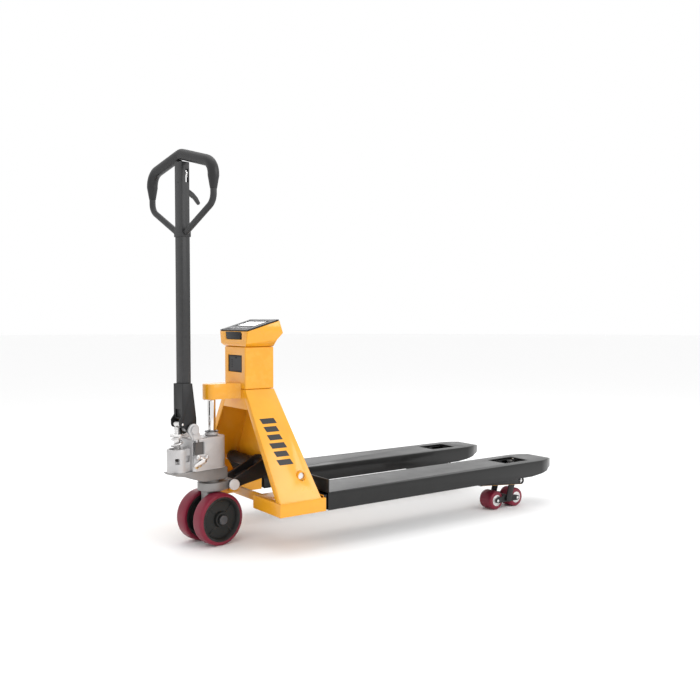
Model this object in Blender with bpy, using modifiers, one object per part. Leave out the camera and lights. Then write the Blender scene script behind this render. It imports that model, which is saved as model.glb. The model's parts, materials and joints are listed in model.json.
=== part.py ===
# Hand pallet truck with a built-in weighing scale.
# Own frame: +X to the fork tips, +Z up, origin at the bottom centre of the whole truck.
# Lengths are in metres; mm turns a number of millimetres into metres.
# The truck is modelled with its forks raised and its drawbar steered by a few degrees.
# Positions in the code are taken from the fork heel (x = 0 there), which rig "truck" carries to its
# place; the steered pieces are taken from the steering axis, which rig "steer" carries and turns.

import math

import bmesh
import bpy
from mathutils import Matrix, Vector

mm = 0.001

# ---------------------------------------------------------------- clearances
gap = 0.3 * mm                      # between two pieces that touch
run = 0.4 * mm                      # round a shaft that turns in a hole

# ---------------------------------------------------------------- forks
fork_length = 1200 * mm
fork_width = 183 * mm
overall_width = 622 * mm
fork_top = 190 * mm                 # height of the raised platform
lift_travel = 105 * mm              # how far the forks come down from there
cover_depth = 61 * mm
cover_sheet = 4 * mm
heel_plate_height = 45 * mm
nose_ramp = 186 * mm                # how long the rising underside of the tip is
nose_depth = 40 * mm                # from the top down to the underside at the tip
nose_fall = (50 * mm, 11 * mm)      # the top's slope down to the tip, length and drop
beam_front_back = 120 * mm          # how far the beam stops short of the tip
cell_play = 4 * mm                  # between beam and cover, for the load cells to bend
beam_sheet = 4 * mm
beam_side_play = 3.5 * mm
beam_edge_rise = 8 * mm             # the beam's lower edges stand this much above the cover's
access_hole = (137 * mm, 96 * mm)   # over the load arm's shaft
access_shift = 3.5 * mm

# ---------------------------------------------------------------- frame
frame_rear = -188 * mm
frame_front_base = -28 * mm
column_front = -74 * mm
column_half = 77 * mm
column_wall = 3 * mm
block_front = -9 * mm
block_height = 45 * mm
block_wall = 6 * mm
seam_z = 531 * mm
leg_sheet = 7.2 * mm                # measured level, across the sloping leg
leg_flange = 30 * mm
flange_sheet = 6 * mm
front_sheet = 5 * mm
front_arch_z = 280 * mm
front_arch_half = 62 * mm
bridge_low_z = 462 * mm
crossbar_x = -144 * mm
crossbar_size = (12 * mm, 30 * mm)
crossbar_low_z = 138 * mm
column_top = 680 * mm

# ---------------------------------------------------------------- head and indicator
head_rear = -193 * mm
head_rear_top_z = 733 * mm
head_front_top = (-65 * mm, 771 * mm)
head_front_nose = (-50 * mm, 727 * mm)
head_front_low = (-72 * mm, 703 * mm)
head_shoulder_z = 690 * mm
head_half_low = 96 * mm
head_half_top = 104 * mm
head_wall = 5 * mm
head_pocket = 34 * mm
panel_thickness = 5 * mm
panel_margin = 1 * mm
screen_size = (58 * mm, 140 * mm)
screen_x = 12 * mm
screen_glass = 2.5 * mm
key_size = (14 * mm, 22 * mm)
key_x = -44 * mm
key_y = (-45 * mm, -15 * mm, 15 * mm, 45 * mm)
key_stroke = 1.2 * mm
battery_size = (66 * mm, 102 * mm, 59 * mm)
battery_low_z = 590 * mm
battery_recess = 2 * mm

# ---------------------------------------------------------------- horn and piston
steer_x = -280 * mm                 # steering axis, behind the fork heel
horn_low_z = 499 * mm
horn_height = 53 * mm
horn_radius = 30 * mm
horn_root_half = 46 * mm
rod_radius = 14.5 * mm
rod_low_z = 345 * mm

# ---------------------------------------------------------------- steering unit, from its own axis
steer_turn = math.radians(10)       # how far the stored pose is steered
pump_half = 45 * mm
pump_rear = -104 * mm
pump_low_z = 262 * mm
pump_top_z = 372 * mm
base_low_z = 220 * mm
base_rear = -176 * mm
base_half = 34 * mm
cylinder_x = -142 * mm
cylinder_radius = 34 * mm
cylinder_top_z = 341 * mm
spring_seat_z = 300 * mm
gland_top_z = 389 * mm
gland_radius = 25 * mm
block_ring_radius = 50 * mm
block_low_z = 184 * mm
block_top_z = 212 * mm
lug_half = 27 * mm
lug_radius = 17.5 * mm
spindle_radius = 26.6 * mm
post_half = 20 * mm
wheel_radius = 90 * mm
tread_depth = 13 * mm
wheel_width = 49 * mm
wheel_half_gap = 24 * mm
axle_trail = 10 * mm
axle_radius = 10 * mm

# ---------------------------------------------------------------- drawbar, from the steering axis
pivot = (-99 * mm, 403 * mm)
pivot_radius = 9 * mm
tube_x = -113 * mm
tube_size = (32 * mm, 42 * mm)
tube_wall = 3 * mm
tube_low_z = 440 * mm
tube_top_z = 1299 * mm
foot_sheet = 6 * mm
foot_top_z = 560 * mm
lug_sheet = 10 * mm
lug_play = 2.7 * mm
pivot_lug_radius = 22 * mm
roller_at = (-136 * mm, 424 * mm)
roller_radius = 9 * mm
roller_play = 1.2 * mm
plunger_cap_z = 385 * mm
handle_x = -115 * mm
grip_radius = 18.5 * mm
stem_radius = 10.5 * mm
grip_low_z = 1192 * mm
handle_half = 178 * mm
handle_top_z = 1325 * mm
collar_z = (1050 * mm, 1080 * mm)
lever_pivot = (-101 * mm, 1204 * mm)
lever_half = 6 * mm
control_rod_x = -119 * mm

# ---------------------------------------------------------------- lifting linkage
cross_shaft_at = (-218 * mm, 200 * mm)
cross_shaft_radius = 11 * mm
rocker_at = (-78 * mm, 248 * mm)
rocker_tube_radius = 22 * mm
rocker_shaft_radius = 12 * mm
rocker_arm = (31 * mm, 12 * mm)     # inner face and thickness of each rear arm
rocker_lever = 90 * mm
rocker_lever_sheet = 14 * mm
slot_play = 1.8 * mm
rod_thickness = 7 * mm              # radius of a push rod
rod_pin_radius = 6 * mm
rod_bridge_x = 760 * mm
arm_shaft_at = (962 * mm, 166 * mm)
arm_shaft_radius = 9 * mm
arm_face = 41 * mm                  # inner face of an arm plate
arm_sheet = 6 * mm
arm_lead = math.radians(22)         # how far the rod pin leads the plumb line when raised
bogie_x = 926 * mm
bogie_rise = 6 * mm                 # of its pivot above the axles
bogie_half = 57 * mm                # half the distance between its two axles
bogie_face = 35.5 * mm
bogie_sheet = 4 * mm
load_radius = 38 * mm
load_width = 66 * mm
load_axle_radius = 6 * mm
cell_size = (54 * mm, 26 * mm, 22 * mm)
cell_stud_radius = 8 * mm
cell_x = (100 * mm, 1046 * mm)
cell_offset = 45 * mm

# ---------------------------------------------------------------- sizes worked out from those above
unit_reach = -base_rear * math.cos(steer_turn) + base_half * math.sin(steer_turn)
heel_x = -(fork_length + steer_x - unit_reach) / 2
fork_low = fork_top - cover_depth
fork_y = (overall_width - fork_width) / 2
beam_top = fork_top - cover_sheet - cell_play
beam_half = fork_width / 2 - cover_sheet - beam_side_play
block_top = fork_low + block_height
leg_base_z = block_top + gap
bogie_z = load_radius + bogie_rise
rear_reach = rocker_at[0] - cross_shaft_at[0]
swing_low = math.atan2(rocker_at[1] - cross_shaft_at[1], rear_reach)
swing_high = math.atan2(cross_shaft_at[1] + lift_travel - rocker_at[1], rear_reach)
rocker_swing = swing_low + swing_high
rod_travel = 2 * rocker_lever * math.sin(rocker_swing / 2)
rod_pin = (rocker_at[0] + rocker_lever * math.sin(rocker_swing / 2),
           rocker_at[1] - rocker_lever * math.cos(rocker_swing / 2))
arm_drop = arm_shaft_at[1] - bogie_z
arm_back = arm_shaft_at[0] - bogie_x
arm_length = math.hypot(arm_drop, arm_back)
arm_swing = math.acos((arm_drop - lift_travel) / arm_length) - math.atan2(arm_back, arm_drop)
arm_crank = rod_travel / (math.sin(arm_lead) + math.sin(arm_swing - arm_lead))
arm_pin = (arm_shaft_at[0] + arm_crank * math.sin(arm_lead),
           arm_shaft_at[1] - arm_crank * math.cos(arm_lead))
rod_slope = math.atan2(rod_pin[1] - arm_pin[1], arm_pin[0] - rod_pin[0])
head_tilt = math.atan2(head_front_top[1] - head_rear_top_z, head_front_top[0] - head_rear)
head_length = math.hypot(head_front_top[1] - head_rear_top_z, head_front_top[0] - head_rear)
lug_inner = tube_size[1] / 2 + gap + foot_sheet + lug_play
pad_top_z = roller_at[1] - roller_radius - roller_play
wheel_y = wheel_half_gap + wheel_width / 2


# ================================================================ helpers
def clear_scene():
    for obj in list(bpy.data.objects):
        bpy.data.objects.remove(obj)


def new_collection(name):
    made = bpy.data.collections.new(name)
    bpy.context.scene.collection.children.link(made)
    return made


clear_scene()
parts = new_collection("pallet_truck_scale")
cutters = new_collection("cutters")
rigs = {}


def add_rig(name, parent, at, turn=(0, 0, 0), own_frame=False):
    """An empty on a joint's axis. Its pieces' positions are counted from its own frame or its parent's."""
    empty = bpy.data.objects.new("rig_" + name, None)
    empty.empty_display_size = 0.05
    parts.objects.link(empty)
    place = Vector(at)
    if parent:
        empty.parent = rigs[parent][0]
        place = place - rigs[parent][1]
    empty.location = place
    empty.rotation_euler = turn
    rigs[name] = (empty, Vector() if own_frame else Vector(at))


def material(name, colour, roughness, metallic):
    made = bpy.data.materials.new(name)
    made.use_nodes = True
    shader = made.node_tree.nodes["Principled BSDF"]
    shader.inputs["Base Color"].default_value = (*colour, 1)
    shader.inputs["Roughness"].default_value = roughness
    shader.inputs["Metallic"].default_value = metallic
    return made


yellow = material("yellow paint", (0.93, 0.50, 0.03), 0.4, 0)
black_paint = material("black paint", (0.025, 0.025, 0.027), 0.45, 0)
black_plastic = material("black plastic", (0.035, 0.035, 0.038), 0.5, 0)
grey_plastic = material("grey plastic", (0.24, 0.24, 0.25), 0.5, 0)
cast_metal = material("cast metal", (0.58, 0.58, 0.58), 0.5, 0.7)
steel = material("steel", (0.62, 0.62, 0.63), 0.3, 1)
chrome = material("chrome", (0.8, 0.8, 0.8), 0.08, 1)
red_tread = material("red tread", (0.26, 0.025, 0.05), 0.5, 0)
glass = material("screen glass", (0.55, 0.6, 0.58), 0.15, 0)


def keep(obj, rig, finish):
    """Hangs a finished piece on its rig and gives it its material."""
    empty, origin = rigs[rig]
    obj.parent = empty
    obj.location = obj.location - origin
    obj.data.materials.clear()
    obj.data.materials.append(finish)
    parts.objects.link(obj)
    for modifier in obj.modifiers:
        if modifier.type == 'BOOLEAN':
            tool = modifier.object
            tool.parent = empty
            tool.location = tool.location - origin
            tool.hide_render = True
            tool.display_type = 'WIRE'
            cutters.objects.link(tool)
    return obj


def boolean(obj, tools, operation):
    for tool in tools:
        modifier = obj.modifiers.new(operation.lower(), 'BOOLEAN')
        modifier.operation = operation
        modifier.solver = 'EXACT'
        modifier.object = tool
    return obj


def cut(obj, *tools):
    return boolean(obj, tools, 'DIFFERENCE')


def join(obj, *tools):
    return boolean(obj, tools, 'UNION')


def bevel(obj, width, segments=2):
    modifier = obj.modifiers.new("bevel", 'BEVEL')
    modifier.width = width
    modifier.segments = segments
    modifier.limit_method = 'ANGLE'
    modifier.angle_limit = math.radians(40)
    return obj


def mesh_object(name, bm):
    mesh = bpy.data.meshes.new(name)
    bm.to_mesh(mesh)
    bm.free()
    return bpy.data.objects.new(name, mesh)


def box(name, low, high):
    low = Vector(low)
    high = Vector(high)
    bm = bmesh.new()
    bmesh.ops.create_cube(bm, size=1)
    bmesh.ops.scale(bm, vec=high - low, verts=bm.verts)
    obj = mesh_object(name, bm)
    obj.location = (low + high) / 2
    return obj


def smooth(obj, angle=40):
    obj.data.shade_smooth()
    obj.data.set_sharp_from_angle(angle=math.radians(angle))
    return obj


def bar(name, start, end, radius, segments=24):
    """A round bar between two points."""
    start = Vector(start)
    end = Vector(end)
    along = end - start
    bm = bmesh.new()
    bmesh.ops.create_cone(bm, cap_ends=True, segments=segments, radius1=radius, radius2=radius,
                          depth=along.length)
    turn = along.to_track_quat('Z', 'Y').to_matrix()
    bmesh.ops.rotate(bm, cent=(0, 0, 0), matrix=turn, verts=bm.verts)
    obj = mesh_object(name, bm)
    obj.location = (start + end) / 2
    return smooth(obj)


def turned(name, profile, centre, axis, segments=32, closed=False):
    """A profile of (radius, height) points, top to bottom on its outer side, swept round an axis."""
    bm = bmesh.new()
    verts = [bm.verts.new((radius, 0, height)) for radius, height in profile]
    for one, two in zip(verts, verts[1:]):
        bm.edges.new((one, two))
    if closed:
        bm.edges.new((verts[-1], verts[0]))
    obj = mesh_object(name, bm)
    obj.location = centre
    screw = obj.modifiers.new("screw", 'SCREW')
    screw.axis = 'Z'
    screw.steps = segments
    screw.render_steps = segments
    screw.use_merge_vertices = True
    screw.merge_threshold = 0.00005
    screw.use_smooth_shade = False
    if axis == 'Y':
        obj.rotation_euler = (-math.pi / 2, 0, 0)
    return obj


def curve_mesh(name, curve, turn=None):
    """A curve's solid as a closed mesh, with its caps welded on."""
    shape = bpy.data.objects.new(name + "_curve", curve)
    bpy.context.scene.collection.objects.link(shape)
    depsgraph = bpy.context.evaluated_depsgraph_get()
    mesh = bpy.data.meshes.new_from_object(shape.evaluated_get(depsgraph))
    bpy.data.objects.remove(shape)
    bpy.data.curves.remove(curve)
    bm = bmesh.new()
    bm.from_mesh(mesh)
    bpy.data.meshes.remove(mesh)
    bmesh.ops.remove_doubles(bm, verts=bm.verts, dist=0.00002)
    if turn:
        bmesh.ops.transform(bm, matrix=turn, verts=bm.verts)
    return mesh_object(name, bm)


planes = {
    'XY': Matrix.Identity(4),
    'XZ': Matrix.Rotation(math.pi / 2, 4, 'X'),
    'YZ': Matrix.Rotation(math.pi / 2, 4, 'Z') @ Matrix.Rotation(math.pi / 2, 4, 'X'),
}


def plate(name, outline, plane, low, high):
    """A flat outline with its thickness between two levels along the third axis."""
    curve = bpy.data.curves.new(name, 'CURVE')
    curve.dimensions = '2D'
    curve.fill_mode = 'BOTH'
    curve.extrude = (high - low) / 2
    spline = curve.splines.new('POLY')
    spline.points.add(len(outline) - 1)
    for point, (u, v) in zip(spline.points, outline):
        point.co = (u, v, 0, 1)
    spline.use_cyclic_u = True
    obj = curve_mesh(name, curve, planes[plane])
    middle = (low + high) / 2
    obj.location = {'XY': (0, 0, middle), 'XZ': (0, middle, 0), 'YZ': (middle, 0, 0)}[plane]
    return obj


def tube(name, points, radius, resolution=2, cyclic=False):
    """A round tube or wire along points."""
    curve = bpy.data.curves.new(name, 'CURVE')
    curve.dimensions = '3D'
    curve.bevel_depth = radius
    curve.bevel_resolution = resolution
    curve.use_fill_caps = True
    spline = curve.splines.new('POLY')
    spline.points.add(len(points) - 1)
    for point, co in zip(spline.points, points):
        point.co = (*co, 1)
    spline.use_cyclic_u = cyclic
    return smooth(curve_mesh(name, curve))


def arc(centre, radius, start, end, steps=8):
    """Points on an arc, angles in degrees."""
    angles = [math.radians(start + (end - start) * i / steps) for i in range(steps + 1)]
    return [(centre[0] + radius * math.cos(a), centre[1] + radius * math.sin(a)) for a in angles]


def strap(one, one_radius, two, two_radius, steps=8):
    """The outline of a belt round two circles."""
    reach = math.hypot(two[0] - one[0], two[1] - one[1])
    heading = math.degrees(math.atan2(two[1] - one[1], two[0] - one[0]))
    lean = math.degrees(math.acos((one_radius - two_radius) / reach))
    return (arc(one, one_radius, heading + lean, heading + 360 - lean, steps)
            + arc(two, two_radius, heading - lean, heading + lean, steps))


def leg_y(z):
    """Half the frame's width at a height."""
    slope = (overall_width / 2 - column_half) / (seam_z - leg_base_z)
    return overall_width / 2 - (z - leg_base_z) * slope


def leg_front_x(z):
    """The front edge of the legs at a height."""
    return frame_front_base + (column_front - frame_front_base) * (z - leg_base_z) / (seam_z - leg_base_z)


def mirrored(points, side):
    return [(side * y, z) for y, z in points]


# ================================================================ frame
def frame_leg(name, side):
    z0 = leg_base_z
    z1 = seam_z
    outer = [(leg_y(z0), z0), (leg_y(z1), z1)]
    inner = [(leg_y(z1) - leg_flange, z1), (leg_y(z0) - leg_flange, z0)]
    leg = plate(name, mirrored(outer + inner, side), 'YZ', frame_rear, frame_front_base + 1 * mm)
    below = z0 - 5 * mm
    above = z1 + 5 * mm
    hollow = [(leg_y(below) - leg_sheet, below), (leg_y(above) - leg_sheet, above),
              (leg_y(above) - 2 * leg_flange, above), (leg_y(below) - 2 * leg_flange, below)]
    room = plate(name + "_room", mirrored(hollow, side), 'YZ', frame_rear + flange_sheet, 10 * mm)
    ahead = 60 * mm
    wedge = [(leg_front_x(below), below), (ahead, below), (ahead, above), (leg_front_x(above), above)]
    front = plate(name + "_front", wedge, 'XZ', side * overall_width / 4 - fork_width,
                  side * overall_width / 4 + fork_width)
    hole_y = leg_y(rocker_at[1])
    hole = bar(name + "_hole", (rocker_at[0], side * hole_y - 40 * mm, rocker_at[1]),
               (rocker_at[0], side * hole_y + 40 * mm, rocker_at[1]), rocker_shaft_radius + 4 * mm)
    return keep(cut(leg, room, front, hole), "truck", yellow)


def frame_front_plate():
    low = rocker_at[1] - 8 * mm
    high = seam_z - gap
    lean = math.atan2(frame_front_base - column_front, seam_z - leg_base_z)
    back = 7 * mm

    def half(z):
        return leg_y(z) - leg_sheet - gap

    foot = [(half(low), low), (half(high), high), (-half(high), high), (-half(low), low)]
    corner = 24 * mm
    arch_z = front_arch_z - corner
    arch = (arc((-front_arch_half + corner, arch_z), corner, 180, 90, 5)
            + arc((front_arch_half - corner, arch_z), corner, 90, 0, 5))
    outline = foot + [(-front_arch_half, low)] + arch + [(front_arch_half, low)]
    leaning = [(y, (z - low) / math.cos(lean)) for y, z in outline]
    sheet = plate("frame_front_plate", leaning, 'YZ', -front_sheet, 0)
    sheet.location = (leg_front_x(low) - back, 0, low)
    sheet.rotation_euler = (0, -lean, 0)
    return keep(sheet, "truck", yellow)


def frame_rear_bridge():
    def half(z):
        return leg_y(z) - leg_flange - gap

    high = seam_z - gap
    outline = [(half(bridge_low_z), bridge_low_z), (half(high), high),
               (-half(high), high), (-half(bridge_low_z), bridge_low_z)]
    return keep(plate("frame_rear_bridge", outline, 'YZ', frame_rear, frame_rear + flange_sheet),
                "truck", yellow)


def frame_crossbar():
    reach = fork_y - fork_width / 2 - gap
    low = (crossbar_x - crossbar_size[0] / 2, -reach, crossbar_low_z)
    high = (crossbar_x + crossbar_size[0] / 2, reach, crossbar_low_z + crossbar_size[1])
    return keep(box("frame_crossbar", low, high), "truck", yellow)


def horn_bracket():
    root = frame_rear - gap
    nose = arc((steer_x, 0), horn_radius, 270, 90, 12)
    neck = root - 27 * mm
    outline = [(root, horn_root_half), (root, -horn_root_half), (neck, -horn_radius)] + nose
    outline = outline + [(neck, horn_radius)]
    body = plate("horn_bracket", outline, 'XY', horn_low_z, horn_low_z + horn_height)
    return keep(bevel(body, 5 * mm), "truck", yellow)


def piston_rod():
    return keep(bar("piston_rod", (steer_x, 0, rod_low_z), (steer_x, 0, horn_low_z - gap), rod_radius, 32),
                "truck", chrome)


def column_housing():
    low = seam_z + gap
    body = bevel(box("column_housing", (frame_rear, -column_half, low),
                     (column_front, column_half, column_top)), 3 * mm, 1)
    room = box("column_room", (frame_rear + column_wall, -column_half + column_wall, low - 10 * mm),
               (column_front - column_wall, column_half - column_wall, column_top + 10 * mm))
    window = box("column_window", (frame_rear - 10 * mm, -battery_size[1] / 2 - 0.5 * mm,
                                   battery_low_z - 0.5 * mm),
                 (frame_rear + 10 * mm, battery_size[1] / 2 + 0.5 * mm,
                  battery_low_z + battery_size[2] + 0.5 * mm))
    return keep(cut(body, room, window), "truck", yellow)


def battery_pack():
    front = frame_rear + battery_recess
    pack = box("battery_pack", (front, -battery_size[1] / 2, battery_low_z),
               (front + battery_size[0], battery_size[1] / 2, battery_low_z + battery_size[2]))
    return keep(bevel(pack, 2 * mm, 1), "battery", black_plastic)


# ================================================================ head and indicator
def head_half(z):
    """Half the head's width at a height: it flares at the shoulder, then widens slowly."""
    if z < head_shoulder_z:
        share = (z - column_top) / (head_shoulder_z - column_top)
        return column_half + (head_half_low - column_half) * share
    share = min(1, (z - head_shoulder_z) / (head_rear_top_z - head_shoulder_z))
    return head_half_low + (head_half_top - head_half_low) * share


def head_housing():
    low = column_top + gap
    outline = [(frame_rear, low), (column_front, low), head_front_low, head_front_nose, head_front_top,
               (head_rear, head_rear_top_z), (head_rear, head_shoulder_z)]
    body = plate("head_housing", outline, 'XZ', -1, 1)
    for vert in body.data.vertices:
        vert.co.y = math.copysign(head_half(vert.co.z), vert.co.y)
    length = head_length / 2 - head_wall
    half = head_half_low - head_wall
    pocket = box("head_pocket", (-length, -half, -head_pocket), (length, half, 10 * mm))
    pocket.rotation_euler = (0, -head_tilt, 0)
    pocket.location = rigs["panel"][0].location + (Matrix.Rotation(-head_tilt, 3, 'Y') @ pocket.location)
    notch = box("head_notch", (head_rear - 10 * mm, -60 * mm, head_rear_top_z - 28 * mm),
                (head_rear + 10 * mm, 60 * mm, head_rear_top_z - 6 * mm))
    return keep(cut(body, pocket, notch), "truck", yellow)


def indicator_panel():
    half = head_half_top - panel_margin
    reach = head_length / 2 - panel_margin
    slab = bevel(box("indicator_panel", (-reach, -half, gap), (reach, half, panel_thickness)), 1.5 * mm, 1)
    deep = panel_thickness + 5 * mm
    holes = [box("screen_hole", (screen_x - screen_size[0] / 2, -screen_size[1] / 2, -5 * mm),
                 (screen_x + screen_size[0] / 2, screen_size[1] / 2, deep))]
    for number, y in enumerate(key_y):
        holes.append(box(f"key_hole_{number + 1}", (key_x - key_size[0] / 2, y - key_size[1] / 2, -5 * mm),
                         (key_x + key_size[0] / 2, y + key_size[1] / 2, deep)))
    return keep(cut(slab, *holes), "panel", grey_plastic)


def display_window():
    half_x = screen_size[0] / 2 - gap
    half_y = screen_size[1] / 2 - gap
    top = panel_thickness - 0.5 * mm
    return keep(box("display_window", (screen_x - half_x, -half_y, top - screen_glass),
                    (screen_x + half_x, half_y, top)), "panel", glass)


def display_module():
    board = box("display_module", (-56 * mm, -84 * mm, -14 * mm), (48 * mm, 84 * mm, -12 * mm))
    half_x = screen_size[0] / 2 - 3 * mm
    half_y = screen_size[1] / 2 - 5 * mm
    lit = box("display_block", (screen_x - half_x, -half_y, -13 * mm), (screen_x + half_x, half_y, -1 * mm))
    return keep(join(board, lit), "panel", grey_plastic)


def indicator_key(number, y):
    half_x = key_size[0] / 2 - 0.4 * mm
    half_y = key_size[1] / 2 - 0.4 * mm
    key = box(f"key_{number}", (key_x - half_x, y - half_y, -8 * mm),
              (key_x + half_x, y + half_y, panel_thickness + 2 * mm))
    return keep(bevel(key, 1 * mm, 1), "panel", black_plastic)


# ================================================================ forks
def fork_outline(inset, rear, front=None):
    """The platform's outline, seen from above, or the part of it behind front."""
    half = fork_width / 2 - inset
    tip = fork_length - inset
    nose = [(130, 0), (116, 2), (80, 13.5), (48, 35.5), (18, 53.5), (5, 64.5), (0, 76)]
    side = [(tip - back * mm, -half + inward * mm) for back, inward in nose]
    behind = [point for point in side if point[0] < rear]
    if behind:
        beyond = side[len(behind)]
        share = (rear - behind[-1][0]) / (beyond[0] - behind[-1][0])
        side = [(rear, behind[-1][1] + share * (beyond[1] - behind[-1][1]))] + side[len(behind):]
    else:
        side = [(rear, -half)] + side
    if front:
        before = [point for point in side if point[0] < front]
        beyond = side[len(before)]
        share = (front - before[-1][0]) / (beyond[0] - before[-1][0])
        side = before + [(front, before[-1][1] + share * (beyond[1] - before[-1][1]))]
    return side + [(x, -y) for x, y in reversed(side)]


def shifted(points, y):
    return [(x, v + y) for x, v in points]


def fork_cover(name, side):
    y = side * fork_y
    cover = plate(name, shifted(fork_outline(0, 0), y), 'XY', fork_low, fork_top)
    slope_start = fork_length - nose_fall[0]
    room = plate(name + "_room", shifted(fork_outline(cover_sheet, -20 * mm, slope_start - 6 * mm), y), 'XY',
                 fork_low - 20 * mm, fork_top - cover_sheet)
    nose_room = plate(name + "_nose_room", shifted(fork_outline(cover_sheet + 0.7 * mm, slope_start - 8 * mm), y), 'XY',
                      fork_low - 23 * mm, fork_top - nose_fall[1] - 7 * mm)
    wedge = [(slope_start, fork_top), (fork_length + 10 * mm, fork_top - nose_fall[1] * 1.2),
             (fork_length + 10 * mm, fork_top + 9 * mm), (slope_start, fork_top + 9 * mm)]
    slope = plate(name + "_slope", wedge, 'XZ', y - fork_width, y + fork_width)
    ramp = [(fork_length - nose_ramp, fork_low), (fork_length + 5 * mm, fork_top - nose_depth),
            (fork_length + 5 * mm, fork_low - 10 * mm), (fork_length - nose_ramp, fork_low - 10 * mm)]
    under = plate(name + "_ramp", ramp, 'XZ', y - fork_width, y + fork_width)
    hole_x = arm_shaft_at[0] + access_shift
    hole = box(name + "_hole", (hole_x - access_hole[0] / 2, y - access_hole[1] / 2, fork_top - 20 * mm),
               (hole_x + access_hole[0] / 2, y + access_hole[1] / 2, fork_top + 10 * mm))
    heel = box(name + "_heel", (0, y - fork_width / 2 + 0.5 * mm, fork_top - 2 * mm),
               (5 * mm, y + fork_width / 2 - 0.5 * mm, fork_top + heel_plate_height))
    return keep(cut(join(cover, heel), room, nose_room, under, slope, hole), "truck", black_paint)


def fork_beam(name, side):
    y = side * fork_y
    front = fork_length - beam_front_back
    low = fork_low + beam_edge_rise
    block = box(name, (frame_rear, y - fork_width / 2, fork_low), (block_front, y + fork_width / 2, block_top))
    channel = box(name + "_channel", (block_front - 6 * mm, y - beam_half, low), (front, y + beam_half, beam_top))
    block_room = box(name + "_block_room",
                     (frame_rear + block_wall, y - fork_width / 2 + block_wall, fork_low - 20 * mm),
                     (block_front + 1 * mm, y + fork_width / 2 - block_wall, block_top - block_wall))
    room = box(name + "_room", (block_front - block_wall, y - beam_half + beam_sheet, fork_low - 20 * mm),
               (front - beam_sheet, y + beam_half - beam_sheet, beam_top - beam_sheet))
    slot = box(name + "_slot", (frame_rear + 28 * mm, y - 20 * mm, block_top - 20 * mm),
               (block_front + 9 * mm, y + 20 * mm, beam_top - beam_sheet - 1 * mm))
    hole = box(name + "_hole",
               (rod_bridge_x - 30 * mm, y - access_hole[1] / 2 - 2 * mm,
                beam_top - 10 * mm),
               (arm_shaft_at[0] + access_shift + access_hole[0] / 2, y + access_hole[1] / 2 + 2 * mm,
                beam_top + 10 * mm))
    studs = []
    for number, x in enumerate(cell_x):
        at_y = y - side * cell_offset
        studs.append(bar(f"{name}_stud_hole_{number}", (x, at_y, beam_top - 10 * mm),
                         (x, at_y, beam_top + 10 * mm), cell_stud_radius + 1 * mm, 16))
    return keep(cut(join(block, channel), block_room, room, slot, hole, *studs), "truck", yellow)


def load_cell(name, side, x):
    y = side * (fork_y - cell_offset)
    top = beam_top - beam_sheet - gap
    body = box(name, (x - cell_size[0] / 2, y - cell_size[1] / 2, top - cell_size[2]),
               (x + cell_size[0] / 2, y + cell_size[1] / 2, top))
    stud = bar(name + "_stud", (x, y, top - 5 * mm), (x, y, fork_top - cover_sheet - gap),
               cell_stud_radius, 16)
    return keep(join(body, stud), "truck", steel)


# ================================================================ lifting linkage
def rocker():
    x, z = rocker_at
    reach = leg_y(z + rocker_tube_radius) - leg_sheet - 3 * mm
    shaft_reach = leg_y(z) - 1 * mm
    body = bar("rocker", (x, -reach, z), (x, reach, z), rocker_tube_radius)
    joined = [bar("rocker_shaft", (x, -shaft_reach, z), (x, shaft_reach, z), rocker_shaft_radius, 20)]
    along = math.atan2(cross_shaft_at[1] - z, cross_shaft_at[0] - x)

    def point(distance, across=0.0):
        return (x + distance * math.cos(along) - across * math.sin(along),
                z + distance * math.sin(along) + across * math.cos(along))

    near = min(rear_reach, math.hypot(rear_reach, z - cross_shaft_at[1]))
    far = max(math.hypot(rear_reach, z - cross_shaft_at[1]),
              math.hypot(rear_reach, cross_shaft_at[1] + lift_travel - z))
    slot_radius = cross_shaft_radius + slot_play
    jaw = cross_shaft_radius + 8.5 * mm
    end = far + 4 * mm
    slots = []
    for side in (-1, 1):
        low, high = sorted((side * rocker_arm[0], side * (rocker_arm[0] + rocker_arm[1])))
        round_hub = arc((x, z), 34 * mm, math.degrees(along) + 70, math.degrees(along) + 290, 8)
        fork = [point(near - 36 * mm, -jaw), point(end, -jaw + 4 * mm), point(end, jaw - 4 * mm),
                point(near - 36 * mm, jaw)]
        joined.append(plate(f"rocker_arm_{side}", round_hub + fork, 'XZ', low, high))
        slots.append(plate(f"rocker_slot_{side}", strap(point(near - 1 * mm), slot_radius + 0.01 * mm,
                                                        point(end + 30 * mm), slot_radius, 8),
                           'XZ', low - 5 * mm, high + 5 * mm))
    web = [point(25 * mm, -4 * mm), point(25 * mm, 4 * mm), point(104 * mm, 4 * mm), point(104 * mm, -4 * mm)]
    joined.append(plate("rocker_web", web, 'XZ', -rocker_arm[0] - 2 * mm, rocker_arm[0] + 2 * mm))
    for side in (-1, 1):
        y = side * fork_y
        half = rocker_lever_sheet / 2
        joined.append(plate(f"rocker_lever_{side}", strap((x, z), 24 * mm, rod_pin, 14 * mm, 8),
                            'XZ', y - half, y + half))
        slots.append(bar(f"rocker_pin_hole_{side}", (rod_pin[0], y - half - 5 * mm, rod_pin[1]),
                         (rod_pin[0], y + half + 5 * mm, rod_pin[1]), rod_pin_radius + run, 20))
    return keep(cut(join(body, *joined), *slots), "rocker", black_paint)


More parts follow.
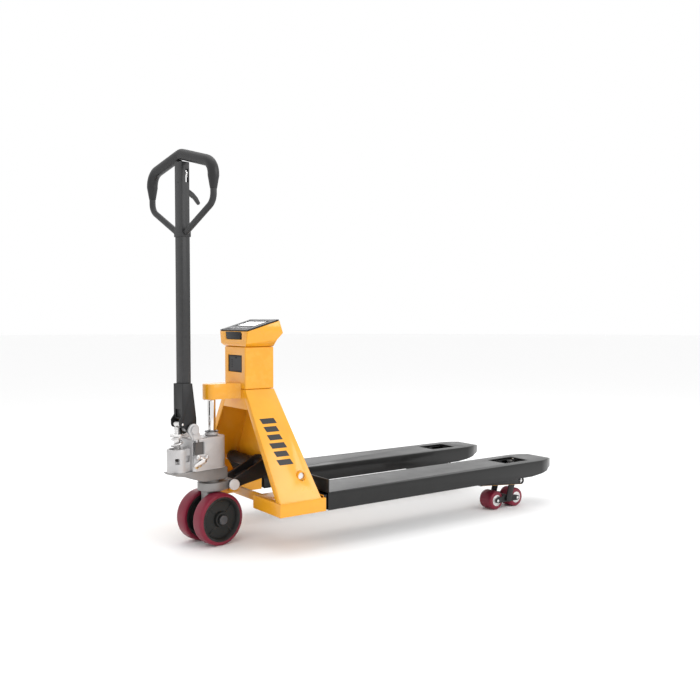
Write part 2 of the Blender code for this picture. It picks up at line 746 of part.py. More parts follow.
def push_rod(name, rig):
    """Along its own +X, from the pin in the rocker's lever to the load arm's pins."""
    length = math.hypot(arm_pin[0] - rod_pin[0], arm_pin[1] - rod_pin[1])
    bridge = (rod_bridge_x - rod_pin[0]) / math.cos(rod_slope)
    inner = rocker_lever_sheet / 2 + 1 * mm
    cheek = 5 * mm
    pin = bar(name, (0, -inner - cheek, 0), (0, inner + cheek, 0), rod_pin_radius, 20)
    joined = []
    for side in (-1, 1):
        low, high = sorted((side * inner, side * (inner + cheek)))
        outline = arc((0, 0), 12 * mm, 90, 270, 6) + [(52 * mm, -9 * mm), (52 * mm, 9 * mm)]
        joined.append(plate(f"{name}_cheek_{side}", outline, 'XZ', low, high))
    joined.append(box(name + "_head", (40 * mm, -inner - cheek + 0.5 * mm, -8 * mm),
                      (55 * mm, inner + cheek - 0.5 * mm, 8 * mm)))
    joined.append(bar(name + "_rod", (45 * mm, 0, 0), (bridge + 2 * mm, 0, 0), rod_thickness, 16))
    face = arm_face + arm_sheet + 2 * mm
    outer = face + 8 * mm
    joined.append(box(name + "_bridge", (bridge - 5 * mm, -outer + 1 * mm, -9 * mm),
                      (bridge + 7 * mm, outer - 1 * mm, 9 * mm)))
    holes = []
    for side in (-1, 1):
        low, high = sorted((side * face, side * outer))
        outline = [(bridge - 4 * mm, 8 * mm), (bridge - 4 * mm, -8 * mm)] + arc((length + 2 * mm, 0), 16 * mm, -80, 80, 8)
        joined.append(plate(f"{name}_bar_{side}", outline, 'XZ', low, high))
        slot = strap((length - 3 * mm, 0), rod_pin_radius + 4.01 * mm, (length + 3 * mm, 0),
                     rod_pin_radius + 4 * mm, 8)
        holes.append(plate(f"{name}_slot_{side}", slot, 'XZ', low - 5 * mm, high + 5 * mm))
    return keep(cut(join(pin, *joined), *holes), rig, steel)


def load_arm(name, rig, side):
    y = side * fork_y
    shaft_half = beam_half - beam_sheet - 1 * mm
    x, z = arm_shaft_at
    outer = arm_face + arm_sheet
    body = bar(name, (x, y - shaft_half, z), (x, y + shaft_half, z), arm_shaft_radius, 20)
    joined = [bar(name + "_bogie_pin", (bogie_x, y - outer, bogie_z), (bogie_x, y + outer, bogie_z), 8 * mm, 20)]
    for hand in (-1, 1):
        low, high = sorted((hand * arm_face, hand * outer))
        joined.append(plate(f"{name}_plate_{hand}", strap((x, z), 16 * mm, (bogie_x, bogie_z), 15 * mm, 8),
                            'XZ', y + low, y + high))
        joined.append(plate(f"{name}_crank_{hand}", strap((x, z), 14 * mm, arm_pin, 12 * mm, 8),
                            'XZ', y + low + 0.01 * mm, y + high - 0.01 * mm))
        stub_from = y + hand * (arm_face + 2 * mm)
        stub_to = y + hand * (outer + 11 * mm)
        joined.append(bar(f"{name}_stub_{hand}", (arm_pin[0], stub_from, arm_pin[1]),
                          (arm_pin[0], stub_to, arm_pin[1]), rod_pin_radius, 16))
    return keep(join(body, *joined), rig, black_paint)


def bogie(name, rig, side):
    y = side * fork_y
    axle_z = load_radius
    outer = bogie_face + bogie_sheet
    body = bar(name, (bogie_x, y - bogie_face - 1 * mm, bogie_z), (bogie_x, y + bogie_face + 1 * mm, bogie_z),
               12 * mm, 20)
    joined = []
    for hand in (-1, 1):
        low, high = sorted((hand * bogie_face, hand * outer))
        ends = (arc((bogie_x - bogie_half, axle_z), 10 * mm, 100, 270, 6)
                + arc((bogie_x + bogie_half, axle_z), 10 * mm, -90, 80, 6)
                + arc((bogie_x, bogie_z), 16 * mm, 60, 120, 4))
        joined.append(plate(f"{name}_plate_{hand}", ends, 'XZ', y + low, y + high))
    for end in (-1, 1):
        at_x = bogie_x + end * bogie_half
        joined.append(bar(f"{name}_axle_{end}", (at_x, y - outer - 1 * mm, axle_z),
                          (at_x, y + outer + 1 * mm, axle_z), load_axle_radius, 16))
    bore = bar(name + "_bore", (bogie_x, y - outer - 9 * mm, bogie_z), (bogie_x, y + outer + 9 * mm, bogie_z),
               8 * mm + run, 20)
    return keep(cut(join(body, *joined), bore), rig, black_paint)


def load_roller(name, rig, side, x):
    half = load_width / 2
    profile = [(load_axle_radius + run, half), (load_radius - 3 * mm, half), (load_radius, half - 3 * mm),
               (load_radius, -half + 3 * mm), (load_radius - 3 * mm, -half), (load_axle_radius + run, -half)]
    roller = turned(name, profile, (x, side * fork_y, load_radius), 'Y', 28, closed=True)
    return keep(roller, rig, red_tread)


def bearing_block():
    ring = strap((steer_x, 0), block_ring_radius, (cross_shaft_at[0] - 8 * mm, 0), lug_half - 7 * mm, 12)
    body = plate("bearing_block", ring, 'XY', block_low_z, block_top_z)
    lug = bar("bearing_lug", (cross_shaft_at[0], -lug_half, cross_shaft_at[1]),
              (cross_shaft_at[0], lug_half, cross_shaft_at[1]), lug_radius)
    tail = box("bearing_tail", (cross_shaft_at[0] + lug_radius - 0.5 * mm, -lug_half - 10 * mm, block_low_z - 9 * mm),
               (cross_shaft_at[0] + 60 * mm, lug_half + 10 * mm, block_top_z + 9 * mm))
    bore = bar("spindle_bore", (steer_x, 0, block_low_z - 9 * mm), (steer_x, 0, block_top_z + 9 * mm),
               spindle_radius + run, 32)
    shaft = bar("shaft_bore", (cross_shaft_at[0], -lug_half - 9 * mm, cross_shaft_at[1]),
                (cross_shaft_at[0], lug_half + 9 * mm, cross_shaft_at[1]), cross_shaft_radius + gap)
    return keep(cut(join(body, lug), tail, bore, shaft), "lift", cast_metal)


def cross_shaft():
    inner = rocker_arm[0] + rocker_arm[1] + 2.5 * mm
    outer = inner + 9 * mm
    disc = cross_shaft_radius + 8 * mm
    profile = [(0, outer), (disc - 2 * mm, outer), (disc, outer - 2 * mm), (disc, inner),
               (cross_shaft_radius, inner), (cross_shaft_radius, -inner), (disc, -inner),
               (disc, -outer + 2 * mm), (disc - 2 * mm, -outer), (0, -outer)]
    shaft = turned("cross_shaft", profile, (cross_shaft_at[0], 0, cross_shaft_at[1]), 'Y', 24)
    return keep(shaft, "lift", steel)


# ================================================================ steering unit
def rod_bore(name, low, high):
    return bar(name, (0, 0, low), (0, 0, high), rod_radius + 1 * mm, 32)


def pump_body():
    front = arc((0, 0), pump_half, -90, 90, 12)
    outline = [(pump_rear, -pump_half + 8 * mm), (pump_rear + 8 * mm, -pump_half)] + front
    outline = outline + [(pump_rear + 8 * mm, pump_half), (pump_rear, pump_half - 8 * mm)]
    body = plate("pump_body", outline, 'XY', pump_low_z + gap, pump_top_z)
    lugs = []
    foot_z = pump_top_z - 8 * mm
    for side in (-1, 1):
        low, high = sorted((side * lug_inner, side * (lug_inner + lug_sheet)))
        ear = arc(pivot, pivot_lug_radius, -20, 190, 10) + [(pump_rear + 2 * mm, foot_z), (pivot[0] + 34 * mm, foot_z)]
        lugs.append(plate(f"pivot_lug_{side}", ear, 'XZ', low, high))
    pocket = box("valve_pocket", (-101 * mm, -pump_half - 5 * mm, 318 * mm),
                 (-61 * mm, -pump_half + 9 * mm, 361 * mm))
    pin = bar("pivot_bore", (pivot[0], -70 * mm, pivot[1]), (pivot[0], 70 * mm, pivot[1]), pivot_radius + run, 24)
    valve = bar("valve_bore", (-66 * mm, -pump_half - 5 * mm, 297 * mm), (-66 * mm, -pump_half + 14 * mm, 297 * mm),
                5 * mm + run, 16)
    bore = rod_bore("body_rod_bore", pump_low_z - 9 * mm, pump_top_z + 9 * mm)
    return keep(cut(join(body, *lugs), pocket, pin, valve, bore), "steer", cast_metal)


def pump_base():
    front = pump_half - 1 * mm
    outline = [(front, pump_low_z), (front, base_low_z + 5 * mm), (front - 12 * mm, base_low_z),
               (-48 * mm, base_low_z), (-70 * mm, base_low_z + 5 * mm), (-120 * mm, pump_low_z - 17 * mm),
               (base_rear + 11 * mm, pump_low_z - 8 * mm), (base_rear, pump_low_z)]
    body = plate("pump_base", outline, 'XZ', -base_half, base_half)
    bore = rod_bore("base_rod_bore", rod_low_z - lift_travel - 4 * mm, pump_low_z + 9 * mm)
    return keep(cut(body, bore), "steer", cast_metal)


def pump_cylinder():
    rear = arc((cylinder_x, 0), cylinder_radius, 50, 310, 16)
    front = pump_rear - gap
    body = plate("pump_cylinder", rear + [(front, -base_half * 0.76), (front, base_half * 0.76)], 'XY',
                 pump_low_z + gap, cylinder_top_z)
    seat = bar("spring_seat", (cylinder_x, 0, spring_seat_z), (cylinder_x, 0, cylinder_top_z + 9 * mm), 26 * mm)
    bore = bar("plunger_bore", (cylinder_x, 0, pump_low_z + 5 * mm), (cylinder_x, 0, cylinder_top_z + 9 * mm),
               11 * mm + run, 20)
    return keep(cut(body, seat, bore), "steer", cast_metal)


def rod_gland():
    inner = rod_radius + run
    low = pump_top_z + gap
    profile = [(inner, gland_top_z), (gland_radius - 1 * mm, gland_top_z), (gland_radius, gland_top_z - 1.5 * mm),
               (gland_radius, gland_top_z - 6 * mm), (gland_radius - 6 * mm, low), (inner, low)]
    return keep(turned("rod_gland", profile, (0, 0, 0), 'Z', 32, closed=True), "steer", cast_metal)


def wheel_yoke():
    top = base_low_z - gap
    body = bar("wheel_yoke", (0, 0, block_low_z - 2 * mm), (0, 0, top), spindle_radius, 32)
    post = box("yoke_post", (-axle_trail - 24 * mm, -post_half, wheel_radius - 24 * mm),
               (26 * mm, post_half, block_low_z - 1 * mm))
    bore = bar("axle_bore", (-axle_trail, -40 * mm, wheel_radius), (-axle_trail, 40 * mm, wheel_radius),
               axle_radius + gap, 24)
    return keep(cut(join(body, bevel(post, 6 * mm, 2)), bore), "steer", cast_metal)


def wheel_axle():
    inner = wheel_half_gap + wheel_width + 1 * mm
    outer = inner + 7 * mm
    profile = [(0, outer), (15 * mm, outer), (16 * mm, outer - 1 * mm), (16 * mm, inner), (axle_radius, inner),
               (axle_radius, -inner), (16 * mm, -inner), (16 * mm, -outer + 1 * mm), (15 * mm, -outer), (0, -outer)]
    return keep(turned("wheel_axle", profile, (-axle_trail, 0, wheel_radius), 'Y', 24), "steer", steel)


def steer_tyre(name, rig, side):
    half = wheel_width / 2
    inner = wheel_radius - tread_depth
    profile = [(inner, half), (wheel_radius - 4 * mm, half), (wheel_radius, half - 5 * mm),
               (wheel_radius, -half + 5 * mm), (wheel_radius - 4 * mm, -half), (inner, -half)]
    return keep(turned(name, profile, (-axle_trail, side * wheel_y, wheel_radius), 'Y', 40, closed=True),
                rig, red_tread)


def steer_core(name, rig, side):
    half = wheel_width / 2
    rim = wheel_radius - tread_depth - gap
    bore = axle_radius + run
    profile = [(bore, half), (24 * mm, half), (26 * mm, half - 12 * mm), (rim - 9 * mm, half - 12 * mm),
               (rim - 7 * mm, half), (rim, half), (rim, -half), (rim - 7 * mm, -half),
               (rim - 9 * mm, -half + 12 * mm), (26 * mm, -half + 12 * mm), (24 * mm, -half), (bore, -half)]
    return keep(turned(name, profile, (-axle_trail, side * wheel_y, wheel_radius), 'Y', 40, closed=True),
                rig, black_plastic)


def pump_plunger():
    top = pad_top_z
    cap = plunger_cap_z
    profile = [(0, top), (9 * mm, top), (10 * mm, top - 1 * mm), (10 * mm, top - 4 * mm), (8 * mm, top - 6 * mm),
               (8 * mm, cap + 7 * mm), (21 * mm, cap + 7 * mm), (23 * mm, cap + 5 * mm), (23 * mm, cap),
               (11 * mm, cap), (11 * mm, spring_seat_z + 18 * mm), (0, spring_seat_z + 18 * mm)]
    return keep(turned("pump_plunger", profile, (cylinder_x, 0, 0), 'Z', 24), "plunger", steel)


def plunger_spring():
    wire = 2.2 * mm
    coil = 18.5 * mm
    turns = 6
    steps = 12
    low = spring_seat_z + wire + gap
    high = plunger_cap_z - wire - gap
    points = []
    for i in range(turns * steps + 1):
        angle = 2 * math.pi * i / steps
        points.append((cylinder_x + coil * math.cos(angle), coil * math.sin(angle),
                       low + (high - low) * i / (turns * steps)))
    return keep(tube("plunger_spring", points, wire, 1), "plunger", steel)


def valve_lever():
    face = -pump_half - 2 * mm
    hub = (-66 * mm, 297 * mm)
    body = plate("valve_lever", strap(hub, 9 * mm, (-104 * mm, 284 * mm), 5 * mm, 6), 'XZ', face - 6 * mm, face)
    stub = bar("valve_stub", (hub[0], face - 8 * mm, hub[1]), (hub[0], -pump_half + 12 * mm, hub[1]), 5 * mm, 16)
    return keep(join(body, stub), "valve", steel)


# ================================================================ drawbar and handle
def drawbar_tube():
    half_x = tube_size[0] / 2
    half_y = tube_size[1] / 2
    body = box("drawbar_tube", (tube_x - half_x, -half_y, tube_low_z), (tube_x + half_x, half_y, tube_top_z))
    room = box("tube_room", (tube_x - half_x + tube_wall, -half_y + tube_wall, tube_low_z - 10 * mm),
               (tube_x + half_x - tube_wall, half_y - tube_wall, tube_top_z + 10 * mm))
    slot = box("lever_slot", (tube_x, -lever_half - 1.5 * mm, 1166 * mm), (tube_x + 30 * mm, lever_half + 1.5 * mm, 1274 * mm))
    side_slot = box("side_slot", (tube_x, -half_y - 5 * mm, 1231 * mm), (tube_x + 11 * mm, -half_y + 5 * mm, 1274 * mm))
    return keep(cut(bevel(body, 3 * mm, 2), room, slot, side_slot), "drawbar", black_paint)


def drawbar_foot():
    back = tube_x - tube_size[0] / 2 - gap
    inner = tube_size[1] / 2 + gap
    outer = inner + foot_sheet
    rear = back - foot_sheet
    sheet = box("drawbar_foot", (rear, -outer + 0.5 * mm, tube_low_z + 2 * mm), (back, outer - 0.5 * mm, foot_top_z - 0.5 * mm))
    sides = []
    for side in (-1, 1):
        low, high = sorted((side * inner, side * outer))
        outline = ([(rear, foot_top_z), (tube_x + tube_size[0] / 2, foot_top_z), (pivot[0] + 18 * mm, 440 * mm)]
                   + arc(pivot, 18 * mm, 0, -150, 8)
                   + arc(roller_at, 12 * mm, -60, -180, 5)
                   + [(roller_at[0] - 12 * mm, 440 * mm), (rear, 456 * mm)])
        sides.append(plate(f"foot_side_{side}", outline, 'XZ', low, high))
    window = box("foot_window", (rear - 9 * mm, -17 * mm, tube_low_z + 6 * mm), (back + 0.2 * mm, 17 * mm, 474 * mm))
    pin = bar("foot_pivot_bore", (pivot[0], -60 * mm, pivot[1]), (pivot[0], 60 * mm, pivot[1]), pivot_radius + run, 24)
    axle = bar("foot_roller_bore", (roller_at[0], -60 * mm, roller_at[1]), (roller_at[0], 60 * mm, roller_at[1]),
               4 * mm + run, 16)
    return keep(cut(join(sheet, *sides), window, pin, axle), "drawbar", black_paint)


def drawbar_pin():
    inner = lug_inner + lug_sheet + 0.5 * mm
    outer = inner + 6 * mm
    head = pivot_radius + 5 * mm
    profile = [(0, outer), (head - 1 * mm, outer), (head, outer - 1 * mm), (head, inner), (pivot_radius, inner),
               (pivot_radius, -inner), (head, -inner), (head, -outer + 1 * mm), (head - 1 * mm, -outer), (0, -outer)]
    return keep(turned("drawbar_pin", profile, (pivot[0], 0, pivot[1]), 'Y', 24), "steer", steel)


def cam_roller():
    half = 15 * mm
    reach = tube_size[1] / 2 + foot_sheet
    profile = [(0, reach), (4 * mm, reach), (4 * mm, half), (roller_radius - 1 * mm, half),
               (roller_radius, half - 1 * mm), (roller_radius, -half + 1 * mm), (roller_radius - 1 * mm, -half),
               (4 * mm, -half), (4 * mm, -reach), (0, -reach)]
    return keep(turned("cam_roller", profile, (roller_at[0], 0, roller_at[1]), 'Y', 24), "cam", steel)


def handle_frame():
    half_x = tube_size[0] / 2
    half_y = tube_size[1] / 2
    body = box("handle_frame", (tube_x - half_x - 2.5 * mm, -half_y - 2.5 * mm, collar_z[0]),
               (tube_x + half_x + 2.5 * mm, half_y + 2.5 * mm, collar_z[1]))
    room = box("collar_room", (tube_x - half_x - gap, -half_y - gap, collar_z[0] - 9 * mm),
               (tube_x + half_x + gap, half_y + gap, collar_z[1] + 9 * mm))
    arms = []
    for side in (-1, 1):
        bend = arc((handle_half - 44 * mm, grip_low_z - 14 * mm), 44 * mm, 0, -62, 6)
        line = [(handle_half, grip_low_z - gap)] + bend + [(half_y + 3.5 * mm, collar_z[0] + 15 * mm)]
        arms.append(tube(f"handle_arm_{side}", [(handle_x, side * y, z) for y, z in line], stem_radius, 2))
    return keep(cut(join(bevel(body, 1 * mm, 1), *arms), room), "drawbar", black_paint)


def handle_grip():
    """The thick moulded top of the handle, from one side over the crossbar to the other."""
    corner = 50 * mm
    fall = math.radians(15.3)
    end_y = handle_half - corner + corner * math.sin(fall)
    side_top = handle_top_z - end_y * math.tan(fall) - corner * math.cos(fall)
    right = [(handle_half, grip_low_z + gap), (handle_half, grip_low_z + 30 * mm)]
    right = right + arc((handle_half - corner, side_top), corner, 0, 90 - math.degrees(fall), 6)
    right = right + [(7 * mm, handle_top_z - 7 * mm * math.tan(fall))]
    line = right + [(-y, z) for y, z in reversed(right)]
    return keep(tube("handle_grip", [(handle_x, y, z) for y, z in line], grip_radius, 3), "drawbar", black_plastic)


def handle_lever():
    """The finger lever: a short arm inside the tube and a curved one out of its front."""
    x, z = lever_pivot
    upper = [(x + 9 * mm, z + 9 * mm), (x + 30 * mm, z - 2 * mm), (x + 47 * mm, z - 17 * mm), (x + 57 * mm, z - 34 * mm)]
    lower = [(x + 53 * mm, z - 41 * mm), (x + 46 * mm, z - 35 * mm), (x + 34 * mm, z - 22 * mm), (x + 12 * mm, z - 11 * mm)]
    inner = arc((control_rod_x + 3 * mm, z + 4 * mm), 6 * mm, 270, 90, 5)
    outline = upper + lower + [(x, z - 9 * mm)] + inner + [(x, z + 10 * mm)]
    body = plate("handle_lever", outline, 'XZ', -lever_half, lever_half)
    reach = tube_size[1] / 2 - tube_wall - gap
    pin = bar("lever_pin", (x - 3 * mm, -reach, z), (x - 3 * mm, reach, z), 3.5 * mm, 16)
    return keep(join(bevel(body, 1.2 * mm, 1), pin), "lever", black_plastic)


def control_rod():
    top = lever_pivot[1] - 14 * mm
    return keep(bar("control_rod", (control_rod_x, 0, tube_low_z + 20 * mm), (control_rod_x, 0, top), 3 * mm, 12),
                "control", steel)


# ================================================================ assembly
def build_rigs():
    panel_at = ((head_rear + head_front_top[0]) / 2, 0, (head_rear_top_z + head_front_top[1]) / 2)
    add_rig("truck", None, (heel_x, 0, 0), own_frame=True)
    add_rig("battery", "truck", (frame_rear + battery_recess, 0, battery_low_z + battery_size[2] / 2))
    add_rig("panel", "truck", panel_at, (0, -head_tilt, 0), own_frame=True)
    add_rig("rocker", "truck", (rocker_at[0], 0, rocker_at[1]))
    add_rig("lift", "truck", (steer_x, 0, 0))
    add_rig("steer", "lift", (steer_x, 0, 0), (0, 0, steer_turn), own_frame=True)
    add_rig("plunger", "steer", (cylinder_x, 0, plunger_cap_z))
    add_rig("valve", "steer", (-66 * mm, 0, 297 * mm))
    add_rig("drawbar", "steer", (pivot[0], 0, pivot[1]))
    add_rig("cam", "drawbar", (roller_at[0], 0, roller_at[1]))
    add_rig("lever", "drawbar", (lever_pivot[0] - 3 * mm, 0, lever_pivot[1]))
    add_rig("control", "drawbar", (control_rod_x, 0, lever_pivot[1]))
    for hand, side in (("right", -1), ("left", 1)):
        y = side * fork_y
        add_rig(f"wheel_{hand}", "steer", (-axle_trail, side * wheel_y, wheel_radius))
        add_rig(f"push_{hand}", "rocker", (rod_pin[0], y, rod_pin[1]), (0, rod_slope, 0), own_frame=True)
        add_rig(f"arm_{hand}", "truck", (arm_shaft_at[0], y, arm_shaft_at[1]))
        add_rig(f"bogie_{hand}", f"arm_{hand}", (bogie_x, y, bogie_z))
        for place, end in (("rear", -1), ("front", 1)):
            add_rig(f"roller_{hand}_{place}", f"bogie_{hand}", (bogie_x + end * bogie_half, y, load_radius))


def build():
    build_rigs()
    frame_front_plate()
    frame_rear_bridge()
    frame_crossbar()
    horn_bracket()
    piston_rod()
    column_housing()
    battery_pack()
    head_housing()
    indicator_panel()
    display_window()
    display_module()
    for number, y in enumerate(key_y):
        indicator_key(number + 1, y)
    rocker()
    bearing_block()
    cross_shaft()
    pump_body()
    pump_base()
    pump_cylinder()
    rod_gland()
    wheel_yoke()
    wheel_axle()
    pump_plunger()
    plunger_spring()
    valve_lever()
    drawbar_tube()
    drawbar_foot()
    drawbar_pin()
    cam_roller()
    handle_frame()
    handle_grip()
    handle_lever()
    control_rod()
    for hand, side in (("right", -1), ("left", 1)):
        frame_leg(f"frame_leg_{hand}", side)
        fork_beam(f"fork_beam_{hand}", side)
        fork_cover(f"fork_cover_{hand}", side)
        for place, x in zip(("rear", "front"), cell_x):
            load_cell(f"load_cell_{hand}_{place}", side, x)
        push_rod(f"push_rod_{hand}", f"push_{hand}")
        load_arm(f"load_arm_{hand}", f"arm_{hand}", side)
        bogie(f"bogie_{hand}", f"bogie_{hand}", side)
        for place, end in (("rear", -1), ("front", 1)):
            load_roller(f"load_roller_{hand}_{place}", f"roller_{hand}_{place}", side,
                        bogie_x + end * bogie_half)
        steer_tyre(f"steer_tyre_{hand}", f"wheel_{hand}", side)
        steer_core(f"steer_core_{hand}", f"wheel_{hand}", side)


build()
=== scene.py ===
import json
import math

import bpy
from mathutils import Matrix, Vector

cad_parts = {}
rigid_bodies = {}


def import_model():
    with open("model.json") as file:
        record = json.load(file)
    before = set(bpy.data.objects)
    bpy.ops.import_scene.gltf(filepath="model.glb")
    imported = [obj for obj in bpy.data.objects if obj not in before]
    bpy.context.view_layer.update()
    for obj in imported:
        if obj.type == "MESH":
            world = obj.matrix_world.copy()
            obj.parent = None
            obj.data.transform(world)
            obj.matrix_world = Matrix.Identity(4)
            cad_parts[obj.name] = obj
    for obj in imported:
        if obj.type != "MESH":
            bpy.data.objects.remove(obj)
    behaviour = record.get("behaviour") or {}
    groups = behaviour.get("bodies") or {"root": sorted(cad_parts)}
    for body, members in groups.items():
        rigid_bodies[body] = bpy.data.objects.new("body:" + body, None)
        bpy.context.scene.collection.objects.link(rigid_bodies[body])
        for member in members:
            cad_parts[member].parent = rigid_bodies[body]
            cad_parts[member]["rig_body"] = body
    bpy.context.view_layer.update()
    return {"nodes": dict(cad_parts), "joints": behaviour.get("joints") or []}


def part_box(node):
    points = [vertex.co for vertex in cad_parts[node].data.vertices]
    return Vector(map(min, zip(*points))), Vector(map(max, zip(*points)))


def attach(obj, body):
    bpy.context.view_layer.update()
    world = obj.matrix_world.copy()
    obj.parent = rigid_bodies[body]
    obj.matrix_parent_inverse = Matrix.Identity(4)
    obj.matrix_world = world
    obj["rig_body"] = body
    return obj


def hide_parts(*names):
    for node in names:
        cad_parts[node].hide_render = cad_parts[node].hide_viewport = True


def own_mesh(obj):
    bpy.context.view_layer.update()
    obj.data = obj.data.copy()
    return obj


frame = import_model()
nodes = frame["nodes"]

# Places are in metres. Pieces are made in the frame they belong to, then carried to the truck's own frame.
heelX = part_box("fork_cover_right")[0].x  # where the fork covers start
steerTurn = math.radians(10)  # how far the stored pose is steered
steerAt = [joint for joint in frame["joints"] if joint["name"] == "steering"][0]["pos_m"]
truckFrame = Matrix.Translation((heelX, 0, 0))
steerFrame = Matrix.Translation((steerAt[0], 0, 0)) @ Matrix.Rotation(steerTurn, 4, 'Z')
headTilt = math.atan2(38, 128)  # the panel rises 38 mm over 128 mm
panelAt = (-0.129, 0, 0.752)
panelFrame = truckFrame @ Matrix.Translation(panelAt) @ Matrix.Rotation(-headTilt, 4, 'Y')
forkY = 0.2195  # middle of each fork
print("frame read")

# ---- camera, lights and floor
studio = {
    "eye": (-1.5244, -2.5529, 0.7749),  # from the fork heel
    "azimuth": -35.6,
    "pitch": 2.3,
    "lens": 41.59,
    "shift": (0.0031, 0.0027),
    "floorColour": (0.96, 0.96, 0.96),
    "worldColour": (1.0, 1.0, 1.0),
    "worldStrength": 1.0,
}
lights = {  # place, what it points at, size, power
    "keySoftbox": ((1.6, -3.4, 2.6), (-0.3, 0, 0.4), (2.6, 2.2), 60),
    "topSoftbox": ((-0.2, 0.2, 3.6), (-0.2, 0, 0), (3.0, 2.4), 26),
    "farRim": ((1.0, 3.2, 2.0), (-0.3, 0, 0.5), (2.0, 1.6), 16),
}


def addCamera():
    camera = bpy.data.cameras.new("viewCamera")
    camera.lens = studio["lens"]
    camera.sensor_width = 36
    camera.shift_x, camera.shift_y = studio["shift"]
    camera.clip_end = 200
    obj = bpy.data.objects.new("viewCamera", camera)
    bpy.context.scene.collection.objects.link(obj)
    turn = math.radians(studio["azimuth"])
    lean = math.radians(studio["pitch"])
    back = Vector((math.sin(turn) * math.cos(lean), -math.cos(turn) * math.cos(lean), math.sin(lean)))
    obj.location = truckFrame @ Vector(studio["eye"])
    obj.rotation_euler = (-back).to_track_quat('-Z', 'Y').to_euler()
    bpy.context.scene.camera = obj


def addLight(name, at, aim, size, power):
    light = bpy.data.lights.new(name, 'AREA')
    light.shape = 'RECTANGLE'
    light.size, light.size_y = size
    light.energy = power
    obj = bpy.data.objects.new(name, light)
    bpy.context.scene.collection.objects.link(obj)
    obj.location = at
    obj.rotation_euler = (Vector(aim) - Vector(at)).to_track_quat('-Z', 'Y').to_euler()


def addStudio():
    world = bpy.data.worlds.new("studioWorld")
    bpy.context.scene.world = world
    world.use_nodes = True
    sky = world.node_tree.nodes["Background"]
    sky.inputs["Color"].default_value = (*studio["worldColour"], 1)
    sky.inputs["Strength"].default_value = studio["worldStrength"]
    bpy.ops.mesh.primitive_circle_add(vertices=96, radius=40, fill_type='NGON')
    floor = bpy.context.object
    floor.name = "studioFloor"
    paper = bpy.data.materials.new("floorPaper")
    paper.use_nodes = True
    shader = paper.node_tree.nodes["Principled BSDF"]
    shader.inputs["Base Color"].default_value = (*studio["floorColour"], 1)
    shader.inputs["Roughness"].default_value = 0.9
    shader.inputs["Specular IOR Level"].default_value = 0.1
    floor.data.materials.append(paper)
    for name, values in lights.items():
        addLight(name, *values)


addCamera()
addStudio()
bpy.context.scene.view_settings.view_transform = 'Standard'
print("camera, lights and floor set")

# ---- shared effects


def newGroup(name, inputs, outputs):
    group = bpy.data.node_groups.new(name, 'ShaderNodeTree')
    for label, kind, value in inputs:
        socket = group.interface.new_socket(name=label, in_out='INPUT', socket_type=kind)
        if value is not None:
            socket.default_value = value
    for label, kind in outputs:
        group.interface.new_socket(name=label, in_out='OUTPUT', socket_type=kind)
    return group, group.nodes.new('NodeGroupInput'), group.nodes.new('NodeGroupOutput')


def buildGrainGroup():
    # fine surface grain and slow mottling, from one place on the piece
    group, start, end = newGroup("surfaceGrain", [
        ("Place", 'NodeSocketVector', None), ("Fine Scale", 'NodeSocketFloat', 900.0),
        ("Broad Scale", 'NodeSocketFloat', 9.0), ("Streak", 'NodeSocketFloat', 1.0)],
        [("Mottle", 'NodeSocketFloat'), ("Grain", 'NodeSocketFloat')])
    fine = group.nodes.new('ShaderNodeTexNoise')
    fine.inputs["Detail"].default_value = 4
    broad = group.nodes.new('ShaderNodeTexNoise')
    broad.inputs["Detail"].default_value = 6
    broad.inputs["Roughness"].default_value = 0.6
    stretch = group.nodes.new('ShaderNodeVectorMath')
    stretch.operation = 'MULTIPLY'
    pack = group.nodes.new('ShaderNodeCombineXYZ')
    pack.inputs["Y"].default_value = 1
    pack.inputs["Z"].default_value = 1
    contrast = group.nodes.new('ShaderNodeMapRange')
    contrast.inputs["From Min"].default_value = 0.3
    contrast.inputs["From Max"].default_value = 0.7
    link = group.links.new
    link(start.outputs["Streak"], pack.inputs["X"])
    link(start.outputs["Place"], stretch.inputs[0])
    link(pack.outputs[0], stretch.inputs[1])
    link(stretch.outputs[0], broad.inputs["Vector"])
    link(start.outputs["Place"], fine.inputs["Vector"])
    link(start.outputs["Fine Scale"], fine.inputs["Scale"])
    link(start.outputs["Broad Scale"], broad.inputs["Scale"])
    link(broad.outputs["Fac"], contrast.inputs["Value"])
    link(contrast.outputs["Result"], end.inputs["Mottle"])
    link(fine.outputs["Fac"], end.inputs["Grain"])
    return group


def buildWearAndHighlightGroup():
    # a mask on rounded edges, broken up by noise: partly real edge wear, partly a painted edge highlight
    group, start, end = newGroup("edgeWearAndHighlight", [
        ("Place", 'NodeSocketVector', None), ("Reach", 'NodeSocketFloat', 0.55), ("Amount", 'NodeSocketFloat', 0.5)],
        [("Mask", 'NodeSocketFloat')])
    shape = group.nodes.new('ShaderNodeNewGeometry')
    edge = group.nodes.new('ShaderNodeMapRange')
    edge.inputs["To Min"].default_value = 0
    edge.inputs["To Max"].default_value = 1
    edge.inputs["From Max"].default_value = 0.72
    breakUp = group.nodes.new('ShaderNodeTexNoise')
    breakUp.inputs["Scale"].default_value = 70
    breakUp.inputs["Detail"].default_value = 8
    edgePatches = group.nodes.new('ShaderNodeMapRange')
    edgePatches.inputs["From Min"].default_value = 0.45
    edgePatches.inputs["From Max"].default_value = 0.62
    both = group.nodes.new('ShaderNodeMath')
    both.operation = 'MULTIPLY'
    scaled = group.nodes.new('ShaderNodeMath')
    scaled.operation = 'MULTIPLY'
    link = group.links.new
    link(shape.outputs["Pointiness"], edge.inputs["Value"])
    link(start.outputs["Reach"], edge.inputs["From Min"])
    link(start.outputs["Place"], breakUp.inputs["Vector"])
    link(breakUp.outputs["Fac"], edgePatches.inputs["Value"])
    link(edge.outputs["Result"], both.inputs[0])
    link(edgePatches.outputs["Result"], both.inputs[1])
    link(both.outputs[0], scaled.inputs[0])
    link(start.outputs["Amount"], scaled.inputs[1])
    link(scaled.outputs[0], end.inputs["Mask"])
    return group


